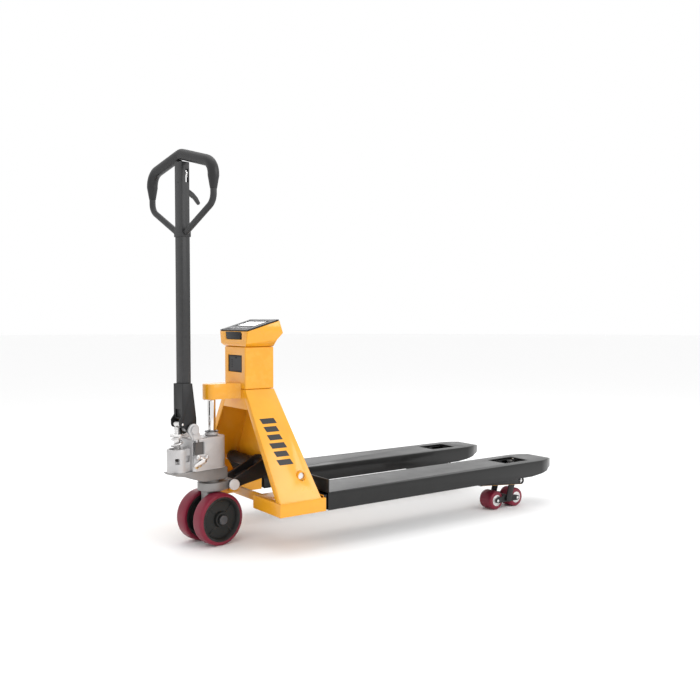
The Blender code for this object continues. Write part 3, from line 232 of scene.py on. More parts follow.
grainGroup = buildGrainGroup()
wearAndHighlightGroup = buildWearAndHighlightGroup()

# "other" is the mottling's second colour, "fine" and "depth" are the grain's scale and height, "shine" the specular
# level; a finish without coat, metal or edge colour has none. The edge colour, lighter than the finish, is partly
# real edge wear and partly a painted edge highlight
finishes = {
    "yellowPaint": {"colour": (0.86, 0.385, 0.012), "other": (0.80, 0.34, 0.009), "rough": (0.27, 0.36),
                    "fine": 700, "depth": 0.00006, "coat": 0.35, "wearAndHighlight": 0.25, "wearAndHighlightColour": (0.95, 0.60, 0.16)},
    "forkPaint": {"colour": (0.011, 0.011, 0.011), "other": (0.015, 0.015, 0.015), "rough": (0.36, 0.46),
                  "fine": 900, "depth": 0.0001, "coat": 0.35, "shine": 0.15, "wearAndHighlight": 0.3,
                  "wearAndHighlightColour": (0.06, 0.06, 0.06)},
    "barPaint": {"colour": (0.030, 0.030, 0.031), "other": (0.037, 0.037, 0.038), "rough": (0.36, 0.46),
                 "fine": 1100, "depth": 0.0001, "shine": 0.3, "wearAndHighlight": 0.4,
                 "wearAndHighlightColour": (0.10, 0.10, 0.10)},
    "blackPaint": {"colour": (0.012, 0.012, 0.013), "other": (0.017, 0.017, 0.018), "rough": (0.3, 0.42),
                   "fine": 900, "depth": 0.0001, "shine": 0.3, "wearAndHighlight": 0.5,
                   "wearAndHighlightColour": (0.12, 0.12, 0.12)},
    "gripPlastic": {"colour": (0.014, 0.014, 0.015), "other": (0.018, 0.018, 0.019), "rough": (0.36, 0.46),
                    "fine": 2600, "depth": 0.00022, "shine": 0.4},
    "castSilver": {"colour": (0.60, 0.59, 0.59), "other": (0.48, 0.47, 0.47), "rough": (0.38, 0.52),
                   "fine": 520, "depth": 0.0003, "metal": 0.35, "wearAndHighlight": 0.35, "wearAndHighlightColour": (0.86, 0.86, 0.86)},
    "castGrey": {"colour": (0.31, 0.30, 0.295), "other": (0.24, 0.235, 0.23), "rough": (0.42, 0.56),
                 "fine": 420, "depth": 0.0004, "metal": 0.3, "wearAndHighlight": 0.35, "wearAndHighlightColour": (0.7, 0.7, 0.7)},
    "brightSteel": {"colour": (0.78, 0.77, 0.76), "other": (0.66, 0.65, 0.65), "rough": (0.22, 0.36),
                    "fine": 1500, "depth": 0.0001, "metal": 0.9},
    "darkSteel": {"colour": (0.11, 0.11, 0.115), "other": (0.08, 0.08, 0.085), "rough": (0.3, 0.45),
                  "fine": 1200, "depth": 0.0001, "metal": 0.8, "wearAndHighlight": 0.4, "wearAndHighlightColour": (0.5, 0.5, 0.5)},
    "chromePlate": {"colour": (0.86, 0.85, 0.84), "other": (0.80, 0.79, 0.78), "rough": (0.06, 0.13),
                    "fine": 2000, "depth": 0.00002, "metal": 1.0},
    "brass": {"colour": (0.72, 0.55, 0.28), "other": (0.60, 0.44, 0.20), "rough": (0.25, 0.4),
              "fine": 1500, "depth": 0.0001, "metal": 0.9},
    "redTread": {"colour": (0.215, 0.010, 0.032), "other": (0.175, 0.008, 0.026), "rough": (0.34, 0.46),
                 "fine": 600, "depth": 0.0001, "coat": 0.08, "shine": 0.35},
    "wheelIron": {"colour": (0.010, 0.011, 0.0105), "other": (0.016, 0.017, 0.016), "rough": (0.34, 0.5),
                  "fine": 420, "depth": 0.0003, "shine": 0.3, "wearAndHighlight": 0.6,
                  "wearAndHighlightColour": (0.16, 0.16, 0.155)},
    "panelPlastic": {"colour": (0.13, 0.13, 0.135), "other": (0.10, 0.10, 0.105), "rough": (0.5, 0.6),
                     "fine": 2200, "depth": 0.0001, "shine": 0.2},
    "borderPlastic": {"colour": (0.009, 0.009, 0.010), "other": (0.013, 0.013, 0.014), "rough": (0.4, 0.5),
                      "fine": 2200, "depth": 0.0001, "shine": 0.25},
    "batteryPlastic": {"colour": (0.022, 0.023, 0.026), "other": (0.028, 0.029, 0.033), "rough": (0.4, 0.5),
                       "fine": 1800, "depth": 0.0002, "shine": 0.3},
    "keyRubber": {"colour": (0.42, 0.42, 0.43), "other": (0.38, 0.38, 0.39), "rough": (0.5, 0.6),
                  "fine": 2200, "depth": 0.0001},
    "decalInk": {"colour": (0.012, 0.011, 0.011), "other": (0.016, 0.015, 0.015), "rough": (0.36, 0.42),
                 "fine": 1800, "depth": 0.00003},
    "lcdGrey": {"colour": (0.40, 0.42, 0.40), "other": (0.36, 0.38, 0.36), "rough": (0.3, 0.36),
                "fine": 2600, "depth": 0.00002},
    # pale colour for the cross shaft's end faces: a painted highlight where the ends face the light
    "shaftEndHighlight": {"colour": (0.80, 0.79, 0.78), "other": (0.72, 0.71, 0.70), "rough": (0.45, 0.55),
                 "fine": 900, "depth": 0.0001},
    "shadowRecess": {"colour": (0.085, 0.078, 0.074), "other": (0.11, 0.10, 0.095), "rough": (0.55, 0.7),
                     "fine": 500, "depth": 0.0003},
}


def makeFinish(name, values):
    made = bpy.data.materials.new(name)
    made.use_nodes = True
    tree = made.node_tree
    shader = tree.nodes["Principled BSDF"]
    place = tree.nodes.new('ShaderNodeTexCoord')
    grain = tree.nodes.new('ShaderNodeGroup')
    grain.node_tree = grainGroup
    grain.inputs["Fine Scale"].default_value = values["fine"]
    grain.inputs["Broad Scale"].default_value = 9 + values["fine"] / 300
    # the edge mask mixes in a lighter colour on rounded edges: partly real edge wear, partly a painted edge highlight
    wearAndHighlight = tree.nodes.new('ShaderNodeGroup')
    wearAndHighlight.node_tree = wearAndHighlightGroup
    wearAndHighlight.inputs["Amount"].default_value = values.get("wearAndHighlight", 0)
    blend = tree.nodes.new('ShaderNodeMix')
    blend.data_type = 'RGBA'
    blend.inputs["A"].default_value = (*values["colour"], 1)
    blend.inputs["B"].default_value = (*values["other"], 1)
    wearAndHighlightMix = tree.nodes.new('ShaderNodeMix')
    wearAndHighlightMix.data_type = 'RGBA'
    wearAndHighlightMix.inputs["B"].default_value = (*values.get("wearAndHighlightColour", values["colour"]), 1)
    gloss = tree.nodes.new('ShaderNodeMapRange')
    gloss.inputs["To Min"].default_value = values["rough"][0]
    gloss.inputs["To Max"].default_value = values["rough"][1]
    bump = tree.nodes.new('ShaderNodeBump')
    bump.inputs["Distance"].default_value = values["depth"]
    bump.inputs["Strength"].default_value = 0.6
    link = tree.links.new
    link(place.outputs["Object"], grain.inputs["Place"])
    link(place.outputs["Object"], wearAndHighlight.inputs["Place"])
    link(grain.outputs["Mottle"], blend.inputs["Factor"])
    link(blend.outputs["Result"], wearAndHighlightMix.inputs["A"])
    link(wearAndHighlight.outputs["Mask"], wearAndHighlightMix.inputs["Factor"])
    link(wearAndHighlightMix.outputs["Result"], shader.inputs["Base Color"])
    link(grain.outputs["Mottle"], gloss.inputs["Value"])
    link(gloss.outputs["Result"], shader.inputs["Roughness"])
    link(grain.outputs["Grain"], bump.inputs["Height"])
    link(bump.outputs["Normal"], shader.inputs["Normal"])
    shader.inputs["Metallic"].default_value = values.get("metal", 0)
    shader.inputs["Coat Weight"].default_value = values.get("coat", 0)
    shader.inputs["Coat Roughness"].default_value = 0.12
    shader.inputs["Specular IOR Level"].default_value = values.get("shine", 0.5)
    return made


finish = {name: makeFinish(name, values) for name, values in finishes.items()}


def makeGlass():
    made = bpy.data.materials.new("screenGlass")
    made.use_nodes = True
    shader = made.node_tree.nodes["Principled BSDF"]
    shader.inputs["Base Color"].default_value = (0.9, 0.92, 0.92, 1)
    shader.inputs["Transmission Weight"].default_value = 0.9
    shader.inputs["IOR"].default_value = 1.45
    place = made.node_tree.nodes.new('ShaderNodeTexCoord')
    grain = made.node_tree.nodes.new('ShaderNodeGroup')
    grain.node_tree = grainGroup
    grain.inputs["Broad Scale"].default_value = 30
    gloss = made.node_tree.nodes.new('ShaderNodeMapRange')
    gloss.inputs["To Min"].default_value = 0.02
    gloss.inputs["To Max"].default_value = 0.07
    made.node_tree.links.new(place.outputs["Object"], grain.inputs["Place"])
    made.node_tree.links.new(grain.outputs["Mottle"], gloss.inputs["Value"])
    made.node_tree.links.new(gloss.outputs["Result"], shader.inputs["Roughness"])
    return made


finish["screenGlass"] = makeGlass()
print("finishes made")

# ---- making and placing pieces


def pick(obj):
    bpy.ops.object.select_all(action='DESELECT')
    obj.select_set(True)
    bpy.context.view_layer.objects.active = obj


def applyModifiers(obj):
    pick(obj)
    for modifier in list(obj.modifiers):
        bpy.ops.object.modifier_apply(modifier=modifier.name)


def addBevel(obj, width, segments=3, angle=35):
    modifier = obj.modifiers.new("edges", 'BEVEL')
    modifier.width = width
    modifier.segments = segments
    modifier.limit_method = 'ANGLE'
    modifier.angle_limit = math.radians(angle)
    modifier.use_clamp_overlap = False
    applyModifiers(obj)


def cleanMesh(obj, merge=True):
    # closes doubled points and turns every face outwards
    pick(obj)
    bpy.ops.object.mode_set(mode='EDIT')
    bpy.ops.mesh.select_all(action='SELECT')
    if merge:
        bpy.ops.mesh.remove_doubles(threshold=0.00001)
    bpy.ops.mesh.normals_make_consistent(inside=False)
    bpy.ops.object.mode_set(mode='OBJECT')


def soften(obj, angle=35):
    pick(obj)
    bpy.ops.object.shade_smooth_by_angle(angle=math.radians(angle))


def settle(obj, name, where, body, look, smoothAngle=35):
    # the piece's place goes into its mesh, so its object stays at the origin
    obj.name = name
    obj.data.name = name
    obj.data.transform(where @ obj.matrix_basis)
    obj.matrix_basis = Matrix.Identity(4)
    obj.data.materials.clear()
    obj.data.materials.append(finish[look])
    soften(obj, smoothAngle)
    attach(obj, body)
    return obj


def roundedCopy(node, look, width, segments=3, angle=32, name=None):
    # the CAD node's own shape with rounded edges, standing for it
    source = nodes[node]
    obj = bpy.data.objects.new(name or node + "Shell", source.data.copy())
    bpy.context.scene.collection.objects.link(obj)
    pick(obj)
    bpy.ops.mesh.customdata_custom_splitnormals_clear()
    bpy.ops.object.mode_set(mode='EDIT')
    bpy.ops.mesh.select_all(action='SELECT')
    bpy.ops.mesh.remove_doubles(threshold=0.00001)
    bpy.ops.mesh.dissolve_limited(angle_limit=math.radians(0.6))
    bpy.ops.object.mode_set(mode='OBJECT')
    if width:
        addBevel(obj, width, segments, angle)
    settle(obj, obj.name, Matrix.Identity(4), source["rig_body"], look)
    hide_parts(node)
    return obj


def paintWhere(obj, look, test):
    obj.data.materials.append(finish[look])
    index = len(obj.data.materials) - 1
    for face in obj.data.polygons:
        if test(face.center, face.normal):
            face.material_index = index


def addBlock(low, high, edge, segments=3):
    low = Vector(low)
    high = Vector(high)
    bpy.ops.object.select_all(action='DESELECT')
    bpy.ops.mesh.primitive_cube_add(size=1, location=(low + high) / 2)
    obj = bpy.context.object
    obj.scale = high - low
    bpy.ops.object.transform_apply(location=False, rotation=False, scale=True)
    if edge:
        addBevel(obj, edge, segments)
    return obj


def addRod(start, end, radius, chamfer=0.0005, vertices=48):
    start = Vector(start)
    end = Vector(end)
    along = end - start
    bpy.ops.object.select_all(action='DESELECT')
    bpy.ops.mesh.primitive_cylinder_add(vertices=vertices, radius=radius, depth=along.length,
                                        location=(start + end) / 2)
    obj = bpy.context.object
    obj.rotation_euler = along.to_track_quat('Z', 'Y').to_euler()
    if chamfer:
        addBevel(obj, chamfer, 2, 50)
    return obj


def addTurned(profile, centre, axis, steps=96):
    # a closed outline of (radius, distance along the axis) spun round it
    mesh = bpy.data.meshes.new("turned")
    if axis == 'Z':
        points = [(radius, 0, along) for radius, along in profile]
        spinAxis = (0, 0, 1)
    else:
        points = [(radius, along, 0) for radius, along in profile]
        spinAxis = (0, 1, 0)
    count = len(points)
    mesh.from_pydata(points, [(i, (i + 1) % count) for i in range(count)], [])
    obj = bpy.data.objects.new("turned", mesh)
    bpy.context.scene.collection.objects.link(obj)
    pick(obj)
    bpy.ops.object.mode_set(mode='EDIT')
    bpy.ops.mesh.select_all(action='SELECT')
    bpy.ops.mesh.spin(steps=steps, angle=2 * math.pi, center=(0, 0, 0), axis=spinAxis)
    bpy.ops.object.mode_set(mode='OBJECT')
    cleanMesh(obj)
    obj.location = centre
    return obj


def bothEnds(profile):
    # an outline given from one end to the middle, and its mirror image
    return profile + [(radius, -along) for radius, along in reversed(profile)]


def addTube(points, radius, resolution=8, sizes=None):
    # a round tube along points; sizes scales the radius at each point
    curve = bpy.data.curves.new("tube", 'CURVE')
    curve.dimensions = '3D'
    curve.bevel_depth = radius
    curve.bevel_resolution = resolution
    curve.use_fill_caps = True
    spline = curve.splines.new('POLY')
    spline.points.add(len(points) - 1)
    for i, co in enumerate(points):
        spline.points[i].co = (*co, 1)
        spline.points[i].radius = sizes[i] if sizes else 1
    obj = bpy.data.objects.new("tube", curve)
    bpy.context.scene.collection.objects.link(obj)
    pick(obj)
    bpy.ops.object.convert(target='MESH')
    obj = bpy.context.object
    cleanMesh(obj)
    return obj


def joinPieces(pieces):
    bpy.ops.object.select_all(action='DESELECT')
    for piece in pieces:
        piece.select_set(True)
    bpy.context.view_layer.objects.active = pieces[0]
    bpy.ops.object.transform_apply(location=True, rotation=True, scale=True)
    bpy.ops.object.join()
    return bpy.context.object


def arc(centre, radius, start, end, steps):
    angles = [math.radians(start + (end - start) * i / steps) for i in range(steps + 1)]
    return [(centre[0] + radius * math.cos(a), centre[1] + radius * math.sin(a)) for a in angles]


def hexHead(at, out, across, height, vertices=6):
    # a bolt head standing on a face, out is the direction it points
    at = Vector(at)
    out = Vector(out).normalized()
    washer = addRod(at - out * 0.0005, at + out * height * 0.25, across * 0.62, 0.0003, 32)
    head = addRod(at + out * height * 0.2, at + out * height, across * 0.55, across * 0.04, vertices)
    return joinPieces([washer, head])


# ---- yellow frame
frameEdges = {
    "frame_leg_right": 0.0022, "frame_leg_left": 0.0022, "frame_front_plate": 0.0014, "frame_rear_bridge": 0.0012,
    "frame_crossbar": 0.0016, "fork_beam_right": 0.0012, "fork_beam_left": 0.0012, "head_housing": 0.0028,
}


def dressFrame():
    for node, width in frameEdges.items():
        piece = roundedCopy(node, "yellowPaint", width)
        if node.startswith("fork_beam"):
            paintWhere(piece, "blackPaint", lambda at, out: at.x > heelX - 0.008)
    roundedCopy("horn_bracket", "yellowPaint", 0.0012, 2, 50)
    roundedCopy("column_housing", "yellowPaint", 0.0012, 2, 50)


marking = {"bars": 6, "first": 0.4265, "step": 0.0262, "height": 0.017,
           "width": (0.056, 0.05, 0.05, 0.058, 0.05, 0.054),
           "centre": (-0.141, -0.138, -0.135, -0.132, -0.129, -0.126),
           "proud": 0.00025, "sunk": -0.001, "lean": 0.007}
legFace = {"footY": 0.311, "footZ": 0.1743, "slope": 0.6555}  # the leg's outer face leans in as it rises


def addMarking(side, hand):
    # plain slanted bars down the leg's outer face
    pieces = []
    for i in range(marking["bars"]):
        z = marking["first"] - i * marking["step"]
        rise = marking["height"] / 2
        half = marking["width"][i] / 2
        x = marking["centre"][i]
        bpy.ops.object.select_all(action='DESELECT')
        bpy.ops.mesh.primitive_cube_add(size=1)
        bar = bpy.context.object
        for vert in bar.data.vertices:
            low = vert.co.z < 0
            out = marking["proud"] if vert.co.y > 0 else marking["sunk"]
            height = z + (-rise if low else rise)
            across = x + (half if vert.co.x > 0 else -half) + (marking["lean"] if low else 0)
            face = legFace["footY"] - (height - legFace["footZ"]) * legFace["slope"]
            vert.co = Vector((across, face + out, height))
            vert.co.y *= side
        pieces.append(bar)
    bars = joinPieces(pieces)
    cleanMesh(bars, merge=False)
    settle(bars, "legMarking" + hand, truckFrame, "chassis", "decalInk")


fittings = {
    "hornBolt": (-0.296, 0.021, 0.4985), "boltAcross": 0.006, "boltHeight": 0.004,
    "hornWeldX": -0.189, "hornWeldZ": 0.499, "hornWeldY": (-0.045, -0.02, 0.0, 0.02, 0.045), "hornWeld": 0.0022,
    "legWeldY": 0.3105, "legWeldZ": 0.1745, "legWeldX": (-0.186, -0.15, -0.11, -0.07, -0.03), "legWeld": 0.0018,
    "bushAt": (-0.078, 0, 0.248),
    "bushRing": ((0.0125, 0.252), (0.0150, 0.252), (0.0157, 0.2527), (0.0157, 0.2648), (0.0150, 0.2655),
                 (0.0125, 0.2655)),
}


def addFrameDetails():
    x, reach, z = fittings["hornBolt"]
    bolts = [hexHead((x, y, z), (0, 0, -1), fittings["boltAcross"], fittings["boltHeight"]) for y in (-reach, reach)]
    settle(joinPieces(bolts), "hornBolts", truckFrame, "chassis", "brightSteel")
    line = [(fittings["hornWeldX"], y, fittings["hornWeldZ"]) for y in fittings["hornWeldY"]]
    settle(addTube(line, fittings["hornWeld"], 3), "hornWeld", truckFrame, "chassis", "yellowPaint")
    for side, hand in ((-1, "Right"), (1, "Left")):
        bead = [(x, side * fittings["legWeldY"], fittings["legWeldZ"]) for x in fittings["legWeldX"]]
        settle(addTube(bead, fittings["legWeld"], 3), "legWeld" + hand, truckFrame, "chassis", "yellowPaint")
        addMarking(side, hand)
        ring = [(radius, side * along) for radius, along in fittings["bushRing"]]
        bush = addTurned(ring, fittings["bushAt"], 'Y', 64)
        settle(bush, "legBush" + hand, truckFrame, "chassis", "yellowPaint")


dressFrame()
addFrameDetails()
print("frame dressed")

# ---- head, screen, keys and battery
indicator = {
    "keyY": (-0.045, -0.015, 0.015, 0.045), "keyMarkX": (-0.047, -0.041), "keyMarkHalf": 0.005,
    "keyMarkZ": (0.0068, 0.0072),
    "screen": (0.012, 0.058, 0.140), "rim": 0.003, "rimZ": (0.0045, 0.0058),  # the screen's middle, width and length
    "screw": (0.058, 0.096, 0.0049), "screwAcross": 0.0045, "screwHeight": 0.0012,
}
lipShape = {"low": (-0.1936, -0.060, 0.706), "high": (-0.183, 0.060, 0.732), "taper": 50 / 60,
            "grooveX": (-0.1938, -0.190), "grooveHalf": 0.046, "grooveZ": (0.711, 0.7125), "step": 0.006, "grooves": 3}


def dressHead():
    panel = roundedCopy("indicator_panel", "borderPlastic", 0.0012, 2, 50)
    up = Vector((-math.sin(headTilt), 0, math.cos(headTilt)))
    paintWhere(panel, "panelPlastic", lambda at, out: out.dot(up) > 0.98)
    roundedCopy("display_window", "screenGlass", 0)
    roundedCopy("display_module", "lcdGrey", 0.0006, 2)
    for number in range(1, 5):
        roundedCopy(f"key_{number}", "keyRubber", 0.0006, 2, 50)
        y, half = indicator["keyY"][number - 1], indicator["keyMarkHalf"]
        startX, endX = indicator["keyMarkX"]
        lowZ, highZ = indicator["keyMarkZ"]
        dot = addBlock((startX, y - half, lowZ), (endX, y + half, highZ), 0.0002, 2)
        settle(dot, f"keyMark{number}", panelFrame, f"key_{number}", "borderPlastic")
    addScreenRim()
    addHeadLip()
    x, y, z = indicator["screw"]
    screws = [hexHead((a, b, z), (0, 0, 1), indicator["screwAcross"], indicator["screwHeight"], 24)
              for a in (-x, x) for b in (-y, y)]
    settle(joinPieces(screws), "panelScrews", panelFrame, "chassis", "darkSteel")


def addScreenRim():
    x, wide, tall = indicator["screen"]
    near, far, side, rim = x - wide / 2, x + wide / 2, tall / 2, indicator["rim"]
    lowZ, highZ = indicator["rimZ"]
    strips = [((near - rim, -side - rim), (near, side + rim)), ((far, -side - rim), (far + rim, side + rim)),
              ((near, -side - rim), (far, -side)), ((near, side), (far, side + rim))]
    pieces = [addBlock((*low, lowZ), (*high, highZ), 0.0004, 2) for low, high in strips]
    settle(joinPieces(pieces), "screenRim", panelFrame, "chassis", "borderPlastic")


def addHeadLip():
    # narrower below, with grooves across it
    lip = addBlock(lipShape["low"], lipShape["high"], 0)
    for vert in lip.data.vertices:
        if vert.co.z < 0:
            vert.co.y *= lipShape["taper"]
    addBevel(lip, 0.0012, 2)
    pieces = [lip]
    startX, endX = lipShape["grooveX"]
    lowZ, highZ = lipShape["grooveZ"]
    half = lipShape["grooveHalf"]
    for k in range(lipShape["grooves"]):
        rise = k * lipShape["step"]
        pieces.append(addBlock((startX, -half, lowZ + rise), (endX, half, highZ + rise), 0.0004, 2))
    settle(joinPieces(pieces), "headLip", truckFrame, "chassis", "borderPlastic")


battery = {
    "face": (-0.1868, -0.1855),  # front and back of the trim
    "outer": 0.047, "inner": 0.045, "rows": (0.5935, 0.5955, 0.6435, 0.6455),
    "ribs": 4, "ribY": (0.020, 0.040), "ribZ": (0.606, 0.609), "ribStep": 0.008,
    "latchX": -0.1872, "latchHalf": 0.009, "latchZ": (0.6375, 0.6425),
}


def dressBattery():
    roundedCopy("battery_pack", "batteryPlastic", 0.0012, 2, 50)
    out, back = battery["face"]
    outer, inner, half = battery["outer"], battery["inner"], battery["latchHalf"]
    low, lowIn, highIn, high = battery["rows"]
    strips = [(-outer, low, outer, lowIn), (-outer, highIn, outer, high),
              (-outer, lowIn, -inner, highIn), (inner, lowIn, outer, highIn)]
    for k in range(battery["ribs"]):
        rise = k * battery["ribStep"]
        strips.append((battery["ribY"][0], battery["ribZ"][0] + rise, battery["ribY"][1], battery["ribZ"][1] + rise))
    pieces = [addBlock((out, startY, startZ), (back, endY, endZ), 0.0004, 2)
              for startY, startZ, endY, endZ in strips]
    lowLatch, highLatch = battery["latchZ"]
    pieces.append(addBlock((battery["latchX"], -half, lowLatch), (back, half, highLatch), 0.0005, 2))
    settle(joinPieces(pieces), "batteryTrim", truckFrame, "battery", "borderPlastic")


dressHead()
dressBattery()
print("head and battery dressed")

# ---- forks and load cells


def dressForks():
    for hand in ("right", "left"):
        roundedCopy(f"fork_cover_{hand}", "forkPaint", 0.0024, 3)
        for place in ("rear", "front"):
            roundedCopy(f"load_cell_{hand}_{place}", "brightSteel", 0.0008, 2, 50)


dressForks()
print("forks dressed")

# ---- lifting linkage
linkage = {"rodBridge": 0.755, "yellowRod": (0.80, 0.915), "rollerRadius": 0.038, "rollerHalf": 0.033,
           "rockerEnd": 0.2555, "armBoss": 0.0485, "axleEnd": 0.0403, "shaftEnd": 0.0435}


def dressLinkage():
    rocker = roundedCopy("rocker", "blackPaint", 0.001, 2, 50)
    paintWhere(rocker, "brightSteel", lambda at, out: abs(at.y) > linkage["rockerEnd"])
    for hand in ("right", "left"):
        rod = roundedCopy(f"push_rod_{hand}", "darkSteel", 0.0008, 2, 50)
        paintWhere(rod, "blackPaint", lambda at, out: at.x > heelX + linkage["rodBridge"])
        paintWhere(rod, "yellowPaint",
                   lambda at, out: linkage["yellowRod"][0] < at.x - heelX < linkage["yellowRod"][1])
        arm = roundedCopy(f"load_arm_{hand}", "blackPaint", 0.0008, 2, 50)
        paintWhere(arm, "brightSteel", lambda at, out: abs(abs(at.y) - forkY) > linkage["armBoss"])
        truckBogie = roundedCopy(f"bogie_{hand}", "blackPaint", 0.0008, 2, 50)
        paintWhere(truckBogie, "brightSteel",
                   lambda at, out: abs(abs(abs(at.y) - forkY) - linkage["axleEnd"]) < 0.0004)
        for place in ("rear", "front"):
            node = f"load_roller_{hand}_{place}"
            low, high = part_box(node)
            addLoadRoller(node, (low + high) / 2)
    roundedCopy("bearing_block", "castGrey", 0.0015, 3, 50)
    shaft = roundedCopy("cross_shaft", "brightSteel", 0.0008, 2, 50)
    # the shaft's end faces are painted pale, a painted highlight where they face the light
    paintWhere(shaft, "shaftEndHighlight", lambda at, out: abs(at.y) > linkage["shaftEnd"])


def addLoadRoller(node, centre):
    radius = linkage["rollerRadius"]
    half = linkage["rollerHalf"]
    bore, hubRadius = 0.0225, 0.0224
    tread = addTurned(bothEnds([(bore, half - 0.001), (radius - 0.006, half - 0.001), (radius - 0.0025, half - 0.0032),
                                (radius - 0.0004, half - 0.0075), (radius, half - 0.012)]), centre, 'Y', 96)
    settle(tread, node + "Tread", Matrix.Identity(4), node, "redTread")
    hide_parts(node)
    hub = addTurned(bothEnds([(0.0066, half), (0.0125, half), (0.0132, half - 0.0008), (0.0132, half - 0.0025),
                              (0.0185, half - 0.0025), (0.0192, half - 0.001), (hubRadius, half - 0.001)]),
                    centre, 'Y', 64)
    settle(hub, node + "Hub", Matrix.Identity(4), node, "brightSteel")


dressLinkage()
print("linkage dressed")

# ---- pump and steering unit
pump = {
    "rodX": -0.28, "rodRadius": 0.0145, "rodZ": (0.345, 0.4987),
    "pocketY": -0.036, "pocketX": (-0.104, -0.058),  # the floor of the body's sunk pocket
    "windows": [((-0.128, -0.06, 0.296), (-0.108, -0.014, 0.318), 0.002),
                ((-0.166, -0.06, 0.292), (-0.152, -0.018, 0.312), 0.002)],
    "collar": [(0.0149, 0.3862), (0.0205, 0.3862), (0.0215, 0.3852), (0.0222, 0.3800), (0.0246, 0.3790),
               (0.0246, 0.3766), (0.0232, 0.3752), (0.0192, 0.3725), (0.0149, 0.3725)],
    "wiper": [(0.0149, 0.389), (0.0235, 0.389), (0.0246, 0.3876), (0.0246, 0.3862), (0.0149, 0.3862)],
    "skirt": [(0.0462, 0.2665), (0.0472, 0.2655), (0.0472, 0.2638), (0.0462, 0.2628), (0.030, 0.2628),
              (0.030, 0.2665)],
}


def cutBlocks(obj, boxes):
    # sunk pockets; each box is a pair of corners in the steering frame
    for low, high, edge in boxes:
        tool = addBlock(low, high, edge, 2)
        pick(tool)
        tool.data.transform(steerFrame @ tool.matrix_basis)
        tool.matrix_basis = Matrix.Identity(4)
        modifier = obj.modifiers.new("pocket", 'BOOLEAN')
        modifier.operation = 'DIFFERENCE'
        modifier.solver = 'EXACT'
        modifier.object = tool
        applyModifiers(obj)
        bpy.data.objects.remove(tool)


def dressPump():
    body = roundedCopy("pump_body", "castSilver", 0.0028, 3, 50)
    toSteer = steerFrame.inverted()
    startX, endX = pump["pocketX"]

    def inPocket(at, out):
        place = toSteer @ at
        return abs(place.y - pump["pocketY"]) < 0.0015 and startX < place.x < endX

    paintWhere(body, "shadowRecess", inPocket)
    roundedCopy("pump_base", "castGrey", 0.003, 3, 50)
    cylinder = roundedCopy("pump_cylinder", "castSilver", 0.0018, 2, 50)
    cutBlocks(cylinder, pump["windows"])
    soften(cylinder)
    low, high = pump["rodZ"]
    rod = addRod((pump["rodX"], 0, low), (pump["rodX"], 0, high), pump["rodRadius"], 0.0008, 96)
    settle(rod, "pistonRodChrome", truckFrame, "chassis", "chromePlate", 50)
    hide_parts("piston_rod")
    gland = addTurned(pump["collar"], (0, 0, 0), 'Z')
    settle(gland, "glandCollar", steerFrame, "steering_unit", "castSilver")
    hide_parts("rod_gland")
    settle(addTurned(pump["wiper"], (0, 0, 0), 'Z'), "glandWiper", steerFrame, "steering_unit", "darkSteel")
    settle(addTurned(pump["skirt"], (0, 0, 0), 'Z'), "pumpSkirt", steerFrame, "steering_unit", "castSilver")
    addPumpValves()
    roundedCopy("wheel_yoke", "castGrey", 0.0016, 2, 50)
    roundedCopy("drawbar_pin", "castSilver", 0.0008, 2, 50)


valves = {
    "face": -0.045,  # the pump body's side; every second number below is a distance out of it
    # the release screw, its hexagon, the lever arm and the bulb cap: start, end, radius, chamfer, sides
    "silverRods": [((-0.092, 0.002, 0.312), (-0.092, -0.010, 0.312), 0.0085, 0.0012, 48),
                   ((-0.092, -0.009, 0.312), (-0.092, -0.015, 0.312), 0.0055, 0.001, 6),
                   ((-0.089, -0.004, 0.309), (-0.052, -0.004, 0.302), 0.0042, 0.0008, 32),
                   ((-0.056, 0.002, 0.308), (-0.056, -0.009, 0.308), 0.0062, 0.0012, 48)],
    "cross": [((-0.060, -0.012, 0.3065), (-0.052, -0.008, 0.3095)),
              ((-0.0575, -0.012, 0.304), (-0.0545, -0.008, 0.312))],
    "brassRods": [((-0.093, 0.002, 0.279), (-0.093, -0.0005, 0.279), 0.0075, 0.0005, 32),
                  ((-0.079, 0.002, 0.281), (-0.079, -0.0008, 0.281), 0.0055, 0.0005, 6)],
    "slot": ((-0.0895, -0.0003, 0.361), (-0.0835, 0.001, 0.3705)),
}


def fromFace(place):
    return place[0], valves["face"] + place[1], place[2]


def addPumpValves():
    silver = [addRod(fromFace(low), fromFace(high), *rest) for low, high, *rest in valves["silverRods"]]
    silver += [addBlock(fromFace(low), fromFace(high), 0.0006, 2) for low, high in valves["cross"]]
    brass = [addRod(fromFace(low), fromFace(high), *rest) for low, high, *rest in valves["brassRods"]]
    settle(joinPieces(silver), "releaseValve", steerFrame, "steering_unit", "brightSteel", 40)
    settle(joinPieces(brass), "valveScrews", steerFrame, "steering_unit", "brass", 40)
    low, high = valves["slot"]
    slotPlate = addBlock(fromFace(low), fromFace(high), 0.0002, 1)
    settle(slotPlate, "castSlot", steerFrame, "steering_unit", "shadowRecess")
    roundedCopy("valve_lever", "brightSteel", 0.0008, 2, 50)


dressPump()
print("pump dressed")

# ---- hand pump plunger and its spring
spring = {
    "coil": 0.0178, "wire": 0.0034, "turns": 4, "steps": 40, "low": 0.3038, "high": 0.3812, "x": -0.142,
    "foot": 0.3, "squashed": 0.385,  # what is left of its height when the plunger is down
    "cup": [(0.0228, 0.3855), (0.0238, 0.3845), (0.0238, 0.3826), (0.0112, 0.3826), (0.0112, 0.3855)],
}


